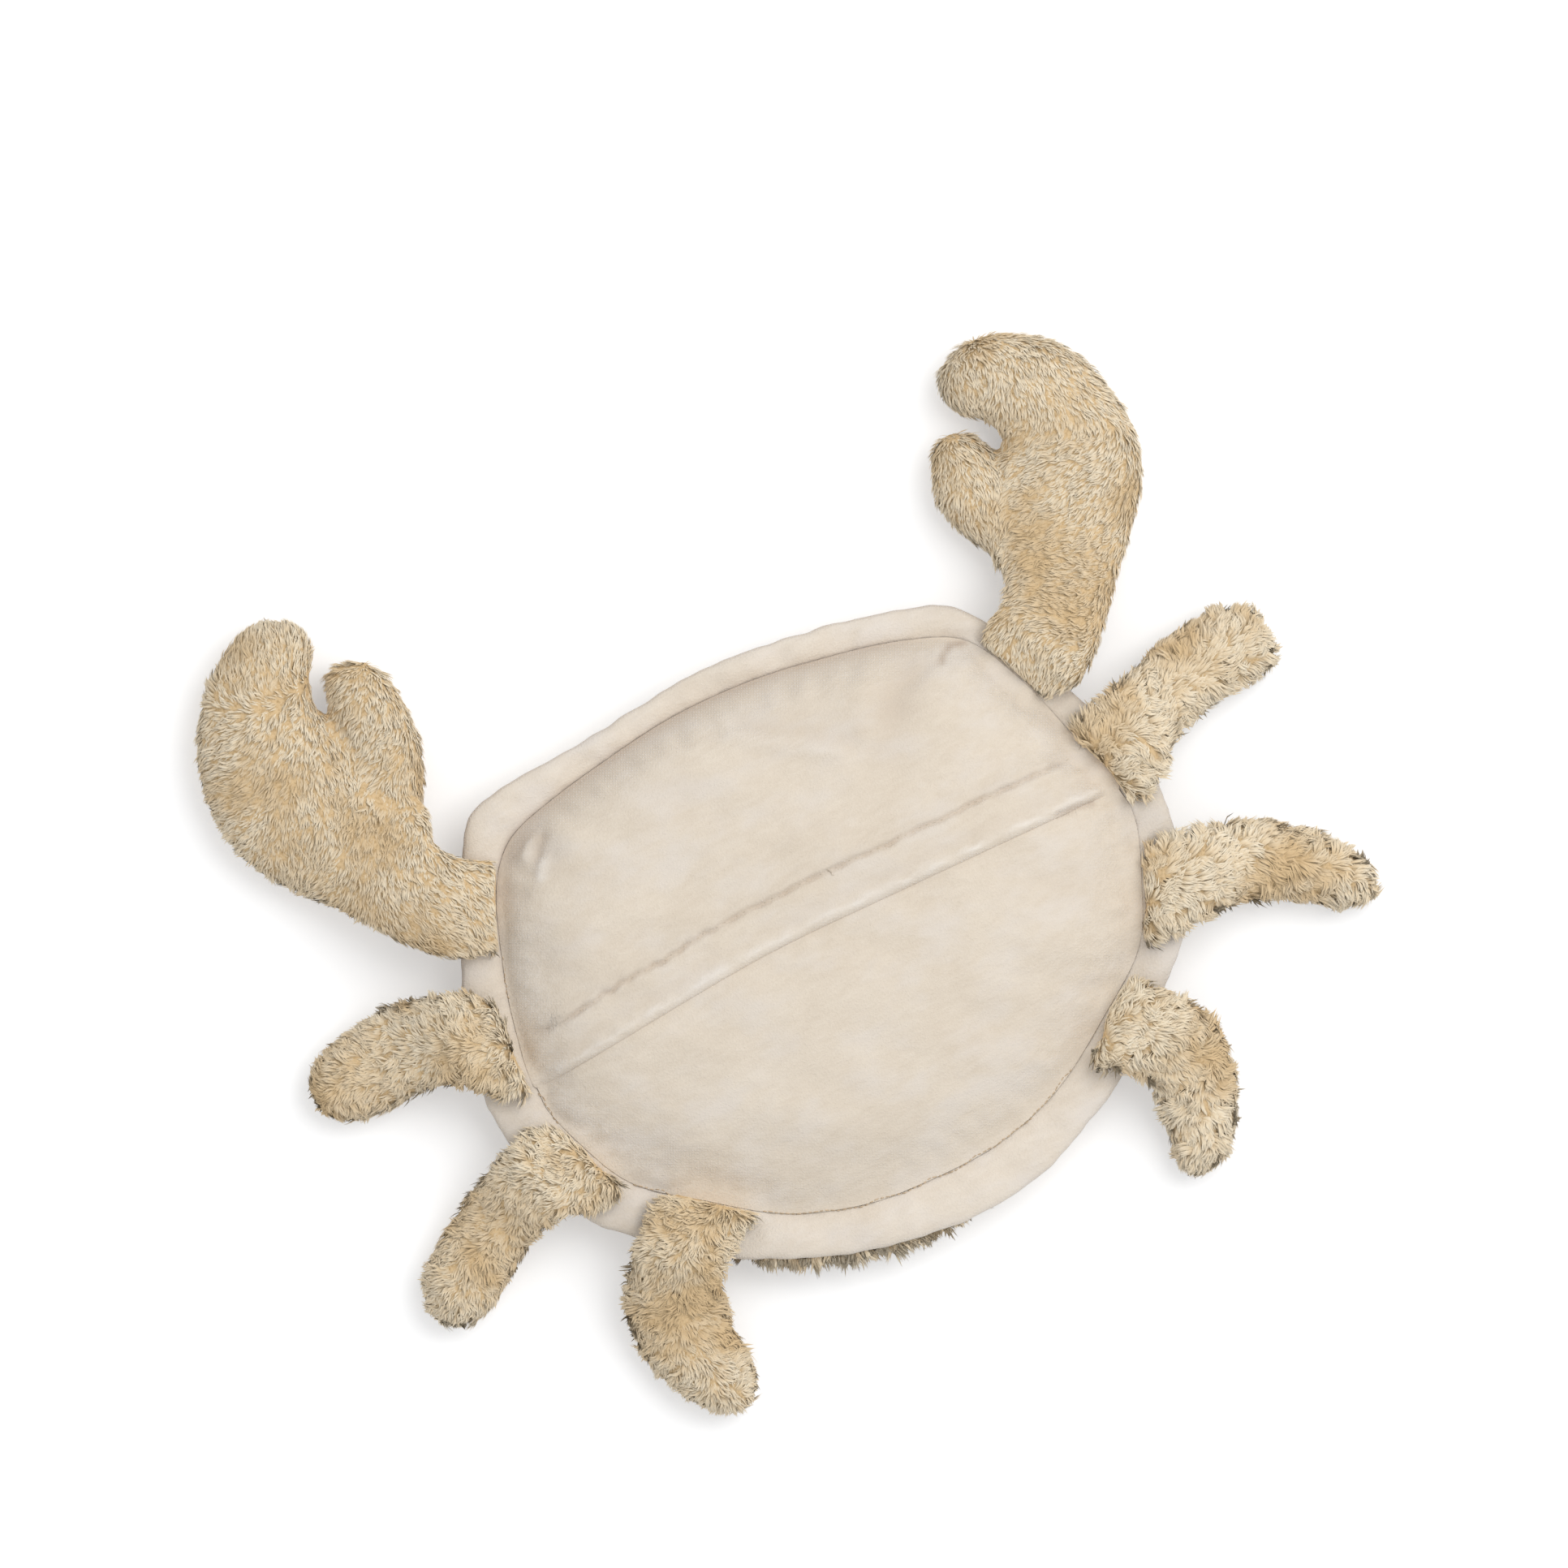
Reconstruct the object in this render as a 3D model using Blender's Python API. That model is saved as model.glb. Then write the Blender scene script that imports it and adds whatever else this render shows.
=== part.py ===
"""A stuffed crab heat pillow that lies on its shell with its belly up.

The shell is a plush bowl with a flat brim. A velour rim facing lies on the brim, and the belly is a
velour pouch in two panels that overlap at a closure of hook and loop tape. The pouch holds a sealed
bag of cherry stones, on a lining over the wool that fills the shell. Two claws and six legs are sewn
into the seam between the belly and the rim, lie over the rim and come down to the floor.

Lengths are in millimetres and become metres where a mesh is made. +Z is up, +Y is the crab's front,
and the origin lies on the flat patch that the shell rests on, between the two front legs.
"""

import math

import bmesh
import bpy
import numpy as np
from mathutils import Vector
from mathutils.geometry import delaunay_2d_cdt

MM = 0.001

# Driving sizes of the body
BODY_WIDTH = 247.5
BODY_LENGTH = 203.0
SHELL_RISE = 12.4
SHELL_THICKNESS = 4.0
BRIM_THICKNESS = 4.0
BRIM_INSET = 1.6
BRIM_ROUNDING = 1.2
RIM_THICKNESS = 5.0
RIM_ROUNDING = 2.2
RIM_INNER_DROP_SHARE = 0.15
RIM_OUTER_DROP_SHARE = 0.4
RIM_WIDEST_DROP_SHARE = 0.2
BRIM_FOOT_SHARE = 0.985
LIP_SHARE = 0.012
REST_PATCH_SHARE = 0.45
SHELL_CURVE = 2.0

# Driving sizes of the pouch and what it holds
SEAM_GROOVE_WIDTH = 1.6
FABRIC_THICKNESS = 1.4
LINING_THICKNESS = 1.0
LINING_RISE = 12.0
LINING_CURVE = 3.0
LINING_HEM_SHARE = 0.93
BOWL_SHARE = 0.9
BELLY_RISE = 27.0
BELLY_CROWN_SHARE = 0.28
BELLY_WALL_CURVE = 8.0
HEAT_PILLOW_SHARE = 0.8
HEAT_PILLOW_EDGE_THICKNESS = 3.0
HEAT_PILLOW_CURVE = 4.0

# Driving sizes of the closure
CLOSURE_WIDTH = 16.0
CLOSURE_FROM_CENTRE = 4.0
CLOSURE_SAG_LEFT = 9.0
TAPE_WIDTH = 11.5
TAPE_THICKNESS = 0.9
TAPE_END_MARGIN = 16.0
CLOSURE_DIP = 1.0
REAR_PANEL_TUCK_SHARE = 0.93
CLOSURE_FADE_START = 2.1 * TAPE_END_MARGIN
CLOSURE_FADE_END = 1.1 * TAPE_END_MARGIN
TAPE_INSET = 2.3 * TAPE_END_MARGIN

# Driving sizes of the claws, the legs and the eyes
CLAW_REACH_LEFT = 120.0
CLAW_REACH_RIGHT = 107.5
CLAW_THICKNESS = 28.0
ARM_THICKNESS = 18.0
FINGER_THICKNESS = 22.0
LEG_REACH_LEFT_FRONT = 69.5
LEG_REACH_LEFT_MIDDLE = 74.5
LEG_REACH_LEFT_REAR = 71.5
LEG_REACH_RIGHT_FRONT = 73.0
LEG_REACH_RIGHT_MIDDLE = 77.5
LEG_REACH_RIGHT_REAR = 60.0
LEG_THICKNESS = 23.0
LEG_THICKNESS_ON_RIM = 15.0
LIMB_SEAM_THICKNESS = 8.0
LIMB_FILL_LENGTH = 24.0
LIMB_FILL_LEAD = 2.0
LIMB_ROUNDEST = 0.97
LIMB_DROP_LENGTH = 26.0
LIMB_SETTLE = 0.8
EYE_DIAMETER = 9.0
EYE_THICKNESS = 1.6
EYE_SPACING = 44.0
EYE_SHARE = 0.93

# Gap that two touching pieces keep, and the looser one round the stuffing
GAP = 0.3
STUFFING_GAP = 0.45

# Mesh fineness
AROUND = 72
LIMB_SIDES = 14
BAND_STATIONS = 23
EDGE_MARGIN = 2.2
SLOPE_STEP = 0.5
EYE_SIDES = 20

# Heights that follow from the sizes above
BRIM_TOP = SHELL_RISE + BRIM_THICKNESS
LINING_TOP = BRIM_TOP + GAP + LINING_THICKNESS
SEAM_HEIGHT = LINING_TOP + GAP
RIM_BOTTOM = BRIM_TOP + GAP
RIM_TOP = RIM_BOTTOM + RIM_THICKNESS
CLOSURE_LIFT = 2 * TAPE_THICKNESS + 2 * GAP - CLOSURE_DIP

# Colours of the materials, linear red, green and blue
PLUSH = (0.61, 0.456, 0.262)
VELOUR = (0.776, 0.694, 0.591)
RIM_VELOUR = (0.807, 0.716, 0.617)
COTTON = (0.79, 0.75, 0.66)
WOOL = (0.83, 0.79, 0.7)
TAPE = (0.78, 0.74, 0.66)
THREAD = (0.025, 0.02, 0.018)

# Plan outlines on the sewing pattern, drawn at a body 247.5 wide and 203 long, counter-clockwise
RIM_PATTERN = [
    (0, 84), (-50, 79), (-75, 77), (-86, 74.5), (-95, 65), (-104, 46), (-112, 30), (-118, 15), (-123, -3),
    (-124, -22), (-120, -42), (-112, -62), (-98, -77.5), (-70, -98), (-40, -111), (-20, -116), (0, -118.5),
    (20, -118), (40, -113), (70, -98), (97, -76), (110, -62), (118, -43), (122, -28), (123, -13), (117, 6),
    (110, 26), (102, 44), (93, 60), (86, 68), (76, 73), (50, 79), (30, 82),
]
SEAM_PATTERN = [
    (0, 75), (-20, 74), (-45, 70), (-62, 66.5), (-77, 62), (-87, 54), (-94, 41), (-99, 26), (-103, 12),
    (-106.5, -6), (-107.5, -21), (-103, -38), (-92, -60), (-72, -76), (-50, -91), (-25, -99.5), (0, -101.5),
    (25, -100), (50, -92), (75, -76), (95, -60), (105, -40), (111, -23), (111.5, -9), (108, 3), (104, 14),
    (98, 33), (89, 52), (79, 60.5), (60, 67), (40, 71), (20, 74),
]
PATTERN_WIDTH = 247.5
PATTERN_LENGTH = 203.0
PATTERN_CENTRE = (0.0, -14.0)

# Limbs on the pattern: pairs of points on the two edges, from the seam to the tip, then the tip
LEG_LEFT_FRONT = [
    ((-107.2, 13), (-109.4, -20)), ((-113, 21), (-118, -18)), ((-121, 23.5), (-126, -9.5)),
    ((-130, 26.5), (-134, -5.5)), ((-140, 28), (-143, -5)), ((-152, 26.5), (-153, -5)),
    ((-163, 24), (-163, -4.5)), ((-170.5, 20), (-170, -1)), ((-174.5, 15.5), (-174.3, 3.5)),
]
LEG_LEFT_MIDDLE = [
    ((-106.2, -32.5), (-94, -62)), ((-113, -30), (-104, -64)), ((-122, -32), (-116, -60.5)),
    ((-132, -36), (-125, -62)), ((-141, -40), (-133, -66)), ((-150, -45.5), (-142, -72)),
    ((-160, -52), (-149.5, -77.5)), ((-167, -59), (-157, -80)), ((-170.5, -67), (-164, -78.5)),
]
LEG_LEFT_REAR = [
    ((-80.8, -68.2), (-56.8, -87.5)), ((-88, -69.5), (-63, -89.5)), ((-95, -75.5), (-70, -96)),
    ((-102, -80.5), (-75.5, -101)), ((-108, -88.5), (-78, -108)), ((-112.5, -98), (-79.5, -115)),
    ((-113.3, -109), (-79, -123)), ((-111, -120), (-79, -131)), ((-106.5, -130.5), (-81.5, -138)),
    ((-100.5, -138.5), (-85.5, -142.8)),
]
LEG_RIGHT_FRONT = [
    ((104.4, 15), (113.6, -17)), ((112, 19), (120, -16)), ((121, 22), (127, -11.5)),
    ((130, 25), (133, -5.5)), ((140, 28.5), (141, -1)), ((151, 31), (153, 1.5)), ((162, 32), (164, 2.8)),
    ((171, 29.5), (173, 4)), ((177, 24), (177.3, 10)),
]
LEG_RIGHT_MIDDLE = [
    ((110.4, -31), (96.2, -60.8)), ((119, -31), (108, -61)), ((130, -33), (121, -61)),
    ((140, -35), (133, -62.5)), ((150, -39), (143, -66)), ((159, -45.5), (151.5, -71.5)),
    ((167, -53.5), (159, -76.5)), ((172.5, -61.5), (166, -78.3)), ((175, -69), (171, -78)),
]
LEG_RIGHT_REAR = [
    ((84, -70), (60.8, -90.2)), ((91, -71.5), (66.5, -93.5)), ((98, -78), (72.5, -96.5)),
    ((103, -84), (77, -100)), ((107.5, -91.5), (78.3, -106.5)), ((108.7, -101), (77.5, -114)),
    ((107, -111), (75.8, -121.5)), ((103.5, -121), (75, -129)), ((98.5, -129), (77, -135.5)),
    ((92, -135.5), (81, -138.2)),
]
CLAW_LEFT = [
    ((-100.2, 27.6), (-86, 57)), ((-107, 29.5), (-93, 60)), ((-114, 31.5), (-99.5, 64.5)),
    ((-121, 37), (-102, 68)), ((-128, 44.5), (-103, 72.5)), ((-134.5, 53), (-101, 77)),
    ((-141, 61.5), (-100, 83)), ((-148, 69), (-101.5, 90)), ((-154, 76.5), (-104.5, 97)),
    ((-160, 84.5), (-108, 104)), ((-164, 93), (-111.5, 111)), ((-166.3, 103), (-115.5, 119.5)),
    ((-166.3, 115), (-119, 126)), ((-163.5, 128), (-119.3, 131)), ((-159, 138), (-117.5, 136.5)),
    ((-151, 149), (-114.5, 142)), ((-143, 155), (-112.3, 147)), ((-135.5, 159.5), (-112.6, 151.5)),
    ((-128, 161.2), (-114.5, 155.5)),
]
FINGER_LEFT = [
    ((-122, 82), (-103, 80)), ((-121, 95), (-96, 92)), ((-119, 107), (-92.3, 104)),
    ((-116.5, 118), (-92, 114)), ((-115.2, 125), (-92.3, 122)), ((-114.7, 131), (-94.3, 128.8)),
    ((-112, 136), (-98, 134.6)),
]
CLAW_RIGHT = [
    ((102.2, 26.6), (89, 55)), ((109, 26), (94, 59)), ((116.5, 28.5), (100, 61.5)),
    ((124.5, 35.5), (104.5, 65)), ((132.5, 44.5), (106.3, 70)), ((140, 54), (105, 76)),
    ((147.5, 62), (103.5, 83)), ((155, 71), (105, 90)), ((161, 78.5), (110, 97)),
    ((165, 87.5), (116, 103.5)), ((166.5, 97), (122, 108)), ((165.7, 107), (125, 113.5)),
    ((163.5, 117), (123.5, 118.5)), ((160, 127), (120.5, 123)), ((154, 135.5), (115.5, 125.8)),
    ((146, 141), (112.9, 131)), ((138, 145), (113, 137)), ((130, 146.6), (116, 142)),
]
FINGER_RIGHT = [
    ((125, 80), (106, 78)), ((125, 92), (99, 89)), ((122, 102), (96, 99)), ((119.5, 109), (96.7, 106.5)),
    ((118.2, 114), (99.3, 113.5)), ((115.5, 118.5), (102.5, 118.8)),
]
TIPS = {
    "leg_left_front": (-176, 9.5), "leg_left_middle": (-169.5, -74.5), "leg_left_rear": (-92.5, -144),
    "leg_right_front": (179, 17), "leg_right_middle": (174.5, -75), "leg_right_rear": (86, -138.8),
    "claw_left": (-120.5, 159.3), "claw_right": (122.5, 145.2),
    "finger_left": (-106, 138), "finger_right": (108.5, 122),
}


def smoothstep(low, high, value):
    """0 below low, 1 above high and a soft rise between."""
    t = np.clip((value - low) / (high - low), 0, 1)
    return t * t * (3 - 2 * t)


def on_body(point):
    """A pattern point, stretched to the body's width and length."""
    return np.array(point, float) * (BODY_WIDTH / PATTERN_WIDTH, BODY_LENGTH / PATTERN_LENGTH)


CENTRE = on_body(PATTERN_CENTRE)


class Outline:
    """A closed smooth outline through pattern points, read by its angle about the body's centre."""

    def __init__(self, pattern, steps=12):
        knots = np.array([on_body(point) for point in pattern])
        before, after, beyond = np.roll(knots, 1, 0), np.roll(knots, -1, 0), np.roll(knots, -2, 0)
        curve = []
        for t in np.arange(steps) / steps:
            curve.append(0.5 * (
                2 * knots + (after - before) * t
                + (2 * before - 5 * knots + 4 * after - beyond) * t ** 2
                + (3 * knots - before - 3 * after + beyond) * t ** 3
            ))
        curve = np.concatenate(curve) - CENTRE
        angles = np.arctan2(curve[:, 1], curve[:, 0])
        order = np.argsort(angles)
        self.angles = angles[order]
        self.radii = np.hypot(curve[:, 0], curve[:, 1])[order]

    def radius(self, angle):
        return np.interp(angle, self.angles, self.radii, period=2 * math.pi)

    def share(self, point):
        """How far out a point lies: 0 at the centre and 1 on the outline."""
        x, y = np.asarray(point, float) - CENTRE
        return math.hypot(x, y) / self.radius(math.atan2(y, x))

    def outside(self, point):
        """The distance by which a point lies outside the outline."""
        x, y = np.asarray(point, float) - CENTRE
        return math.hypot(x, y) - self.radius(math.atan2(y, x))

    def at(self, angle, share=1.0, extra=0.0):
        reach = self.radius(angle) * share + extra
        return CENTRE + reach * np.array((math.cos(angle), math.sin(angle)))


RIM = Outline(RIM_PATTERN)
SEAM = Outline(SEAM_PATTERN)


def lower_closure(x):
    """The folded edge of the front panel, which sags towards the crab's left end."""
    sag = CLOSURE_SAG_LEFT * smoothstep(0.0, 1.0, -x / (BODY_WIDTH / 2))
    return CENTRE[1] + CLOSURE_FROM_CENTRE - sag


def closure_share(x, y):
    """0 on the folded edge of the closure and 1 on its stitched line."""
    return (y - lower_closure(x)) / CLOSURE_WIDTH


def closure_middle(x):
    """1 along the taped middle of the closure, fading to 0 at the seam."""
    half = BODY_WIDTH / 2
    return 1 - smoothstep(half - CLOSURE_FADE_START, half - CLOSURE_FADE_END, abs(x))


def belly_height(x, y):
    """The reference surface of the belly: a soft crown with a steep wall at the seam."""
    share = SEAM.share((x, y))
    crown = BELLY_CROWN_SHARE * (1 - share ** 2)
    wall = (1 - BELLY_CROWN_SHARE) * (1 - share ** BELLY_WALL_CURVE)
    return SEAM_HEIGHT + BELLY_RISE * (crown + wall)


def belly_point(x, y, level):
    """A point at a distance along the belly's normal, kept above the seam."""
    step = SLOPE_STEP
    slope_x = (belly_height(x + step, y) - belly_height(x - step, y)) / (2 * step)
    slope_y = (belly_height(x, y + step) - belly_height(x, y - step)) / (2 * step)
    normal = Vector((-slope_x, -slope_y, 1)).normalized()
    place = Vector((x, y, belly_height(x, y))) + normal * level
    place.z = max(place.z, SEAM_HEIGHT)
    return place


def front_level(x, y):
    """The front panel's outer face, lifted over the closure."""
    return CLOSURE_LIFT * closure_middle(x) * (1 - smoothstep(1.0, 1.5, closure_share(x, y)))


def rear_level(x, y):
    """The rear panel's outer face, sunk below the front panel at the closure."""
    share = closure_share(x, y)
    tucked = (FABRIC_THICKNESS + GAP) * smoothstep(-0.6, -0.05, share)
    return -tucked - CLOSURE_DIP * closure_middle(x) * smoothstep(-0.7, -0.05, share)


def hook_level(x, y):
    return rear_level(x, y) + GAP + TAPE_THICKNESS


def loop_level(x, y):
    return front_level(x, y) - FABRIC_THICKNESS - GAP


def lining_height(x, y):
    share = SEAM.share((x, y))
    return LINING_TOP + LINING_RISE * max(0.0, 1 - (share / LINING_HEM_SHARE) ** LINING_CURVE)


def shell_height(share):
    """The shell's underside at a share of the rim outline: a flat patch, then a bowl."""
    climb = max(0.0, (share - REST_PATCH_SHARE) / (1 - REST_PATCH_SHARE))
    return SHELL_RISE * climb ** SHELL_CURVE


def pillow_underside(x, y):
    return lining_height(x, y) + GAP


def pillow_top(x, y):
    """The heat pillow fills the pouch and stays under the closure's layers."""
    roof = belly_point(x, y, -(2 * FABRIC_THICKNESS + GAP + CLOSURE_DIP + STUFFING_GAP)).z
    floor = pillow_underside(x, y) + HEAT_PILLOW_EDGE_THICKNESS
    spread = SEAM.share((x, y)) / HEAT_PILLOW_SHARE
    return floor + (roof - floor) * max(0.0, 1 - spread ** HEAT_PILLOW_CURVE)


def new_object(name, verts, faces, colour, roughness=0.95, smooth_angle=50.0):
    """An object with its own mesh and material; verts are in millimetres."""
    mesh = bpy.data.meshes.new(name)
    mesh.from_pydata([tuple(c * MM for c in vert) for vert in verts], [], faces)
    made = bmesh.new()
    made.from_mesh(mesh)
    bmesh.ops.triangulate(made, faces=made.faces[:])
    bmesh.ops.recalc_face_normals(made, faces=made.faces[:])
    made.to_mesh(mesh)
    made.free()
    mesh.shade_smooth()
    mesh.set_sharp_from_angle(angle=math.radians(smooth_angle))
    material = bpy.data.materials.new(name)
    material.use_nodes = True
    shader = material.node_tree.nodes["Principled BSDF"]
    shader.inputs["Base Color"].default_value = (*colour, 1)
    shader.inputs["Roughness"].default_value = roughness
    shader.inputs["Metallic"].default_value = 0.0
    mesh.materials.append(material)
    thing = bpy.data.objects.new(name, mesh)
    bpy.context.scene.collection.objects.link(thing)
    return thing


def inside(polygon, point):
    """Whether a plan point lies inside a polygon."""
    x, y = point
    crossings = 0
    for (x0, y0), (x1, y1) in zip(polygon, np.roll(polygon, -1, 0)):
        if (y0 > y) != (y1 > y) and x < x0 + (y - y0) * (x1 - x0) / (y1 - y0):
            crossings += 1
    return crossings % 2 == 1


def edge_distance(polygon, point):
    """The distance from a plan point to a polygon's nearest edge."""
    start = np.asarray(polygon)
    along = np.roll(start, -1, 0) - start
    away = np.asarray(point) - start
    t = np.clip((away * along).sum(1) / np.maximum((along ** 2).sum(1), 1e-9), 0, 1)
    return np.hypot(*(away - along * t[:, None]).T).min()


def plan_mesh(outline, fill_points):
    """Triangles over a plan outline, through the points inside it that keep off its edge."""
    kept = [p for p in fill_points if inside(outline, p) and edge_distance(outline, p) > EDGE_MARGIN]
    points = [Vector(p) for p in [*outline, *kept]]
    verts, _, faces, *_ = delaunay_2d_cdt(points, [], [list(range(len(outline)))], 1, 1e-5)
    return [tuple(v) for v in verts], [tuple(f) for f in faces]


def slab(name, plan, top, bottom, colour):
    """A closed piece between two surfaces over a plan; top and bottom give a point for each place."""
    verts, faces = plan
    count = len(verts)
    points = [top(x, y) for x, y in verts] + [bottom(x, y) for x, y in verts]
    edges = {}
    for face in faces:
        for a, b in zip(face, face[1:] + face[:1]):
            edges[(a, b)] = True
    sides = [(b, a, a + count, b + count) for a, b in edges if (b, a) not in edges]
    under = [tuple(index + count for index in reversed(face)) for face in faces]
    return new_object(name, points, [*faces, *under, *sides], colour)


def ring_angles(count=AROUND):
    return [2 * math.pi * step / count for step in range(count)]


def polar_points(outline, shares, count=AROUND):
    """Points on rings inside an outline, with fewer of them on the inner rings."""
    points = [tuple(CENTRE)]
    for share in shares:
        for angle in ring_angles(max(10, round(count * share))):
            points.append(tuple(outline.at(angle, share)))
    return points


def panel_outline(front):
    """The plan of the front panel, or of the rear panel with its tucked edge."""
    line_share = 0.0 if front else REAR_PANEL_TUCK_SHARE

    def line_y(x):
        return lower_closure(x) + line_share * CLOSURE_WIDTH

    def turned(point):
        """The angle about the centre, counted from the rear for the front panel and the other way round."""
        angle = math.atan2(point[1] - CENTRE[1], point[0] - CENTRE[0])
        return (angle + (math.pi / 2 if front else -math.pi / 2)) % (2 * math.pi)

    side_of_line = 1 if front else -1
    around = [SEAM.at(angle) for angle in ring_angles()]
    kept = [p for p in around if (p[1] - line_y(p[0])) * side_of_line > EDGE_MARGIN]
    arc = sorted(kept, key=turned)
    ends = []
    for side in (-1, 1):
        low, high = 0.0, BODY_WIDTH
        for _ in range(40):
            middle = (low + high) / 2
            if SEAM.share((side * middle, line_y(side * middle))) > 1:
                high = middle
            else:
                low = middle
        ends.append(side * low)
    stations = [float(x) for x in np.linspace(ends[0], ends[1], BAND_STATIONS)]
    line = [np.array((x, line_y(x))) for x in stations]
    if not front:
        line.reverse()
    return [tuple(p) for p in [*arc, *line]]


def closure_points(shares):
    """Points along the closure at shares of its width."""
    reach = BODY_WIDTH / 2
    points = []
    for x in np.linspace(-reach, reach, BAND_STATIONS + 4):
        for share in shares:
            points.append((float(x), float(lower_closure(x) + share * CLOSURE_WIDTH)))
    return points


def spaced(points, near, gap):
    """The points that keep a gap from all of another set."""
    others = np.array(near)
    return [p for p in points if np.hypot(*(others - p).T).min() > gap]


def make_panel(name, front, level):
    band = [0.22, 0.5, 0.78, 1.0, 1.25, 1.5] if front else [0.7, 0.4, 0.1, -0.15, -0.4, -0.65]
    on_band = closure_points(band)
    rings = spaced(polar_points(SEAM, (0.97, 0.93, 0.88, 0.8, 0.66, 0.46, 0.24)), on_band, 4.2)
    plan = plan_mesh(panel_outline(front), [*on_band, *rings])
    return slab(
        name, plan,
        lambda x, y: belly_point(x, y, level(x, y)),
        lambda x, y: belly_point(x, y, level(x, y) - FABRIC_THICKNESS),
        VELOUR,
    )


def make_tape(name, level):
    """One tape of the closure; level is its outer face."""
    reach = BODY_WIDTH / 2 - TAPE_INSET
    edge = (CLOSURE_WIDTH - TAPE_WIDTH) / 2
    stations = [float(x) for x in np.linspace(-reach, reach, BAND_STATIONS - 3)]
    lower = [(x, float(lower_closure(x) + edge)) for x in stations]
    upper = [(x, float(lower_closure(x) + edge + TAPE_WIDTH)) for x in reversed(stations)]
    middle = [(x, float(lower_closure(x) + CLOSURE_WIDTH / 2)) for x in stations]
    plan = plan_mesh([*lower, *upper], middle)
    return slab(
        name, plan,
        lambda x, y: belly_point(x, y, level(x, y)),
        lambda x, y: belly_point(x, y, level(x, y) - TAPE_THICKNESS),
        TAPE,
    )


def seam_plan(share, rings):
    outline = [tuple(SEAM.at(angle, share)) for angle in ring_angles()]
    return plan_mesh(outline, polar_points(SEAM, rings))


def make_lining():
    plan = seam_plan(0.995, (LINING_HEM_SHARE, 0.84, 0.68, 0.46, 0.22))
    return slab(
        "pocket_lining", plan,
        lambda x, y: (x, y, lining_height(x, y)),
        lambda x, y: (x, y, lining_height(x, y) - LINING_THICKNESS),
        COTTON,
    )


def make_heat_pillow():
    share = HEAT_PILLOW_SHARE
    plan = seam_plan(share, (0.95 * share, 0.86 * share, 0.68 * share, 0.44 * share, 0.2 * share))
    return slab(
        "heat_pillow", plan,
        lambda x, y: (x, y, pillow_top(x, y)),
        lambda x, y: (x, y, pillow_underside(x, y)),
        COTTON,
    )


def bowl_floor(x, y):
    return shell_height(RIM.share((x, y))) + SHELL_THICKNESS


def make_filling():
    plan = seam_plan(BOWL_SHARE, (0.8, 0.64, 0.44, 0.22))
    return slab(
        "shell_filling", plan,
        lambda x, y: (x, y, lining_height(x, y) - LINING_THICKNESS - STUFFING_GAP),
        lambda x, y: (x, y, bowl_floor(x, y) + STUFFING_GAP),
        WOOL,
    )


def rings_to_faces(first, rings, around, last):
    """Faces of a surface of rings that starts and ends in a single point."""
    faces = []
    for step in range(around):
        after = (step + 1) % around
        faces.append((first, 1 + after, 1 + step))
        for ring in range(rings - 1):
            low, high = 1 + ring * around, 1 + (ring + 1) * around
            faces.append((low + step, low + after, high + after, high + step))
        top = 1 + (rings - 1) * around
        faces.append((last, top + step, top + after))
    return faces


def make_shell():
    """The plush bowl with its brim, drawn from the middle of the patch, out, over and back in."""
    under = (0.24, REST_PATCH_SHARE, 0.56, 0.67, 0.77, 0.86, 0.94)
    verts = [(*CENTRE, 0.0)]
    angles = ring_angles()
    for share in under:
        verts += [(*RIM.at(angle, share), shell_height(share)) for angle in angles]
    edge_inset = BRIM_INSET + BRIM_ROUNDING
    verts += [(*RIM.at(angle, 1, -edge_inset), shell_height(BRIM_FOOT_SHARE)) for angle in angles]
    verts += [(*RIM.at(angle, 1, -BRIM_INSET), (SHELL_RISE + BRIM_TOP) / 2) for angle in angles]
    verts += [(*RIM.at(angle, 1, -edge_inset), BRIM_TOP) for angle in angles]
    lip_share = (1 + BOWL_SHARE) / 2
    verts += [(*SEAM.at(angle, lip_share), BRIM_TOP) for angle in angles]
    for share in (BOWL_SHARE + LIP_SHARE, 0.78, 0.62, 0.42, 0.2):
        for angle in angles:
            place = SEAM.at(angle, share)
            verts.append((*place, bowl_floor(*place)))
    verts.append((*CENTRE, SHELL_THICKNESS))
    rings = (len(verts) - 2) // AROUND
    faces = rings_to_faces(0, rings, AROUND, len(verts) - 1)
    return new_object("shell_cover", verts, faces, PLUSH)


def make_rim():
    """The velour facing on the brim, a soft flat ring with a rounded outer edge."""
    section = []
    for angle in ring_angles():
        inner = SEAM.at(angle, 1, SEAM_GROOVE_WIDTH)
        outer = RIM.at(angle)
        out = (outer - inner) / np.hypot(*(outer - inner))
        middle = (inner + outer) / 2
        section.append([
            (*inner, RIM_BOTTOM),
            (*inner, RIM_TOP - RIM_ROUNDING),
            (*(inner + out * RIM_ROUNDING), RIM_TOP - RIM_ROUNDING * RIM_INNER_DROP_SHARE),
            (*middle, RIM_TOP),
            (*(outer - out * RIM_ROUNDING), RIM_TOP - RIM_ROUNDING * RIM_OUTER_DROP_SHARE),
            (*outer, (RIM_TOP + RIM_BOTTOM) / 2 - RIM_ROUNDING * RIM_WIDEST_DROP_SHARE),
            (*(outer - out * RIM_ROUNDING), RIM_BOTTOM),
        ])
    width = len(section[0])
    verts = [point for ring in section for point in ring]
    faces = []
    for ring in range(AROUND):
        after = (ring + 1) % AROUND
        for step in range(width):
            nxt = (step + 1) % width
            faces.append((ring * width + step, ring * width + nxt, after * width + nxt, after * width + step))
    return new_object("rim_facing", verts, faces, RIM_VELOUR)


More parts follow.
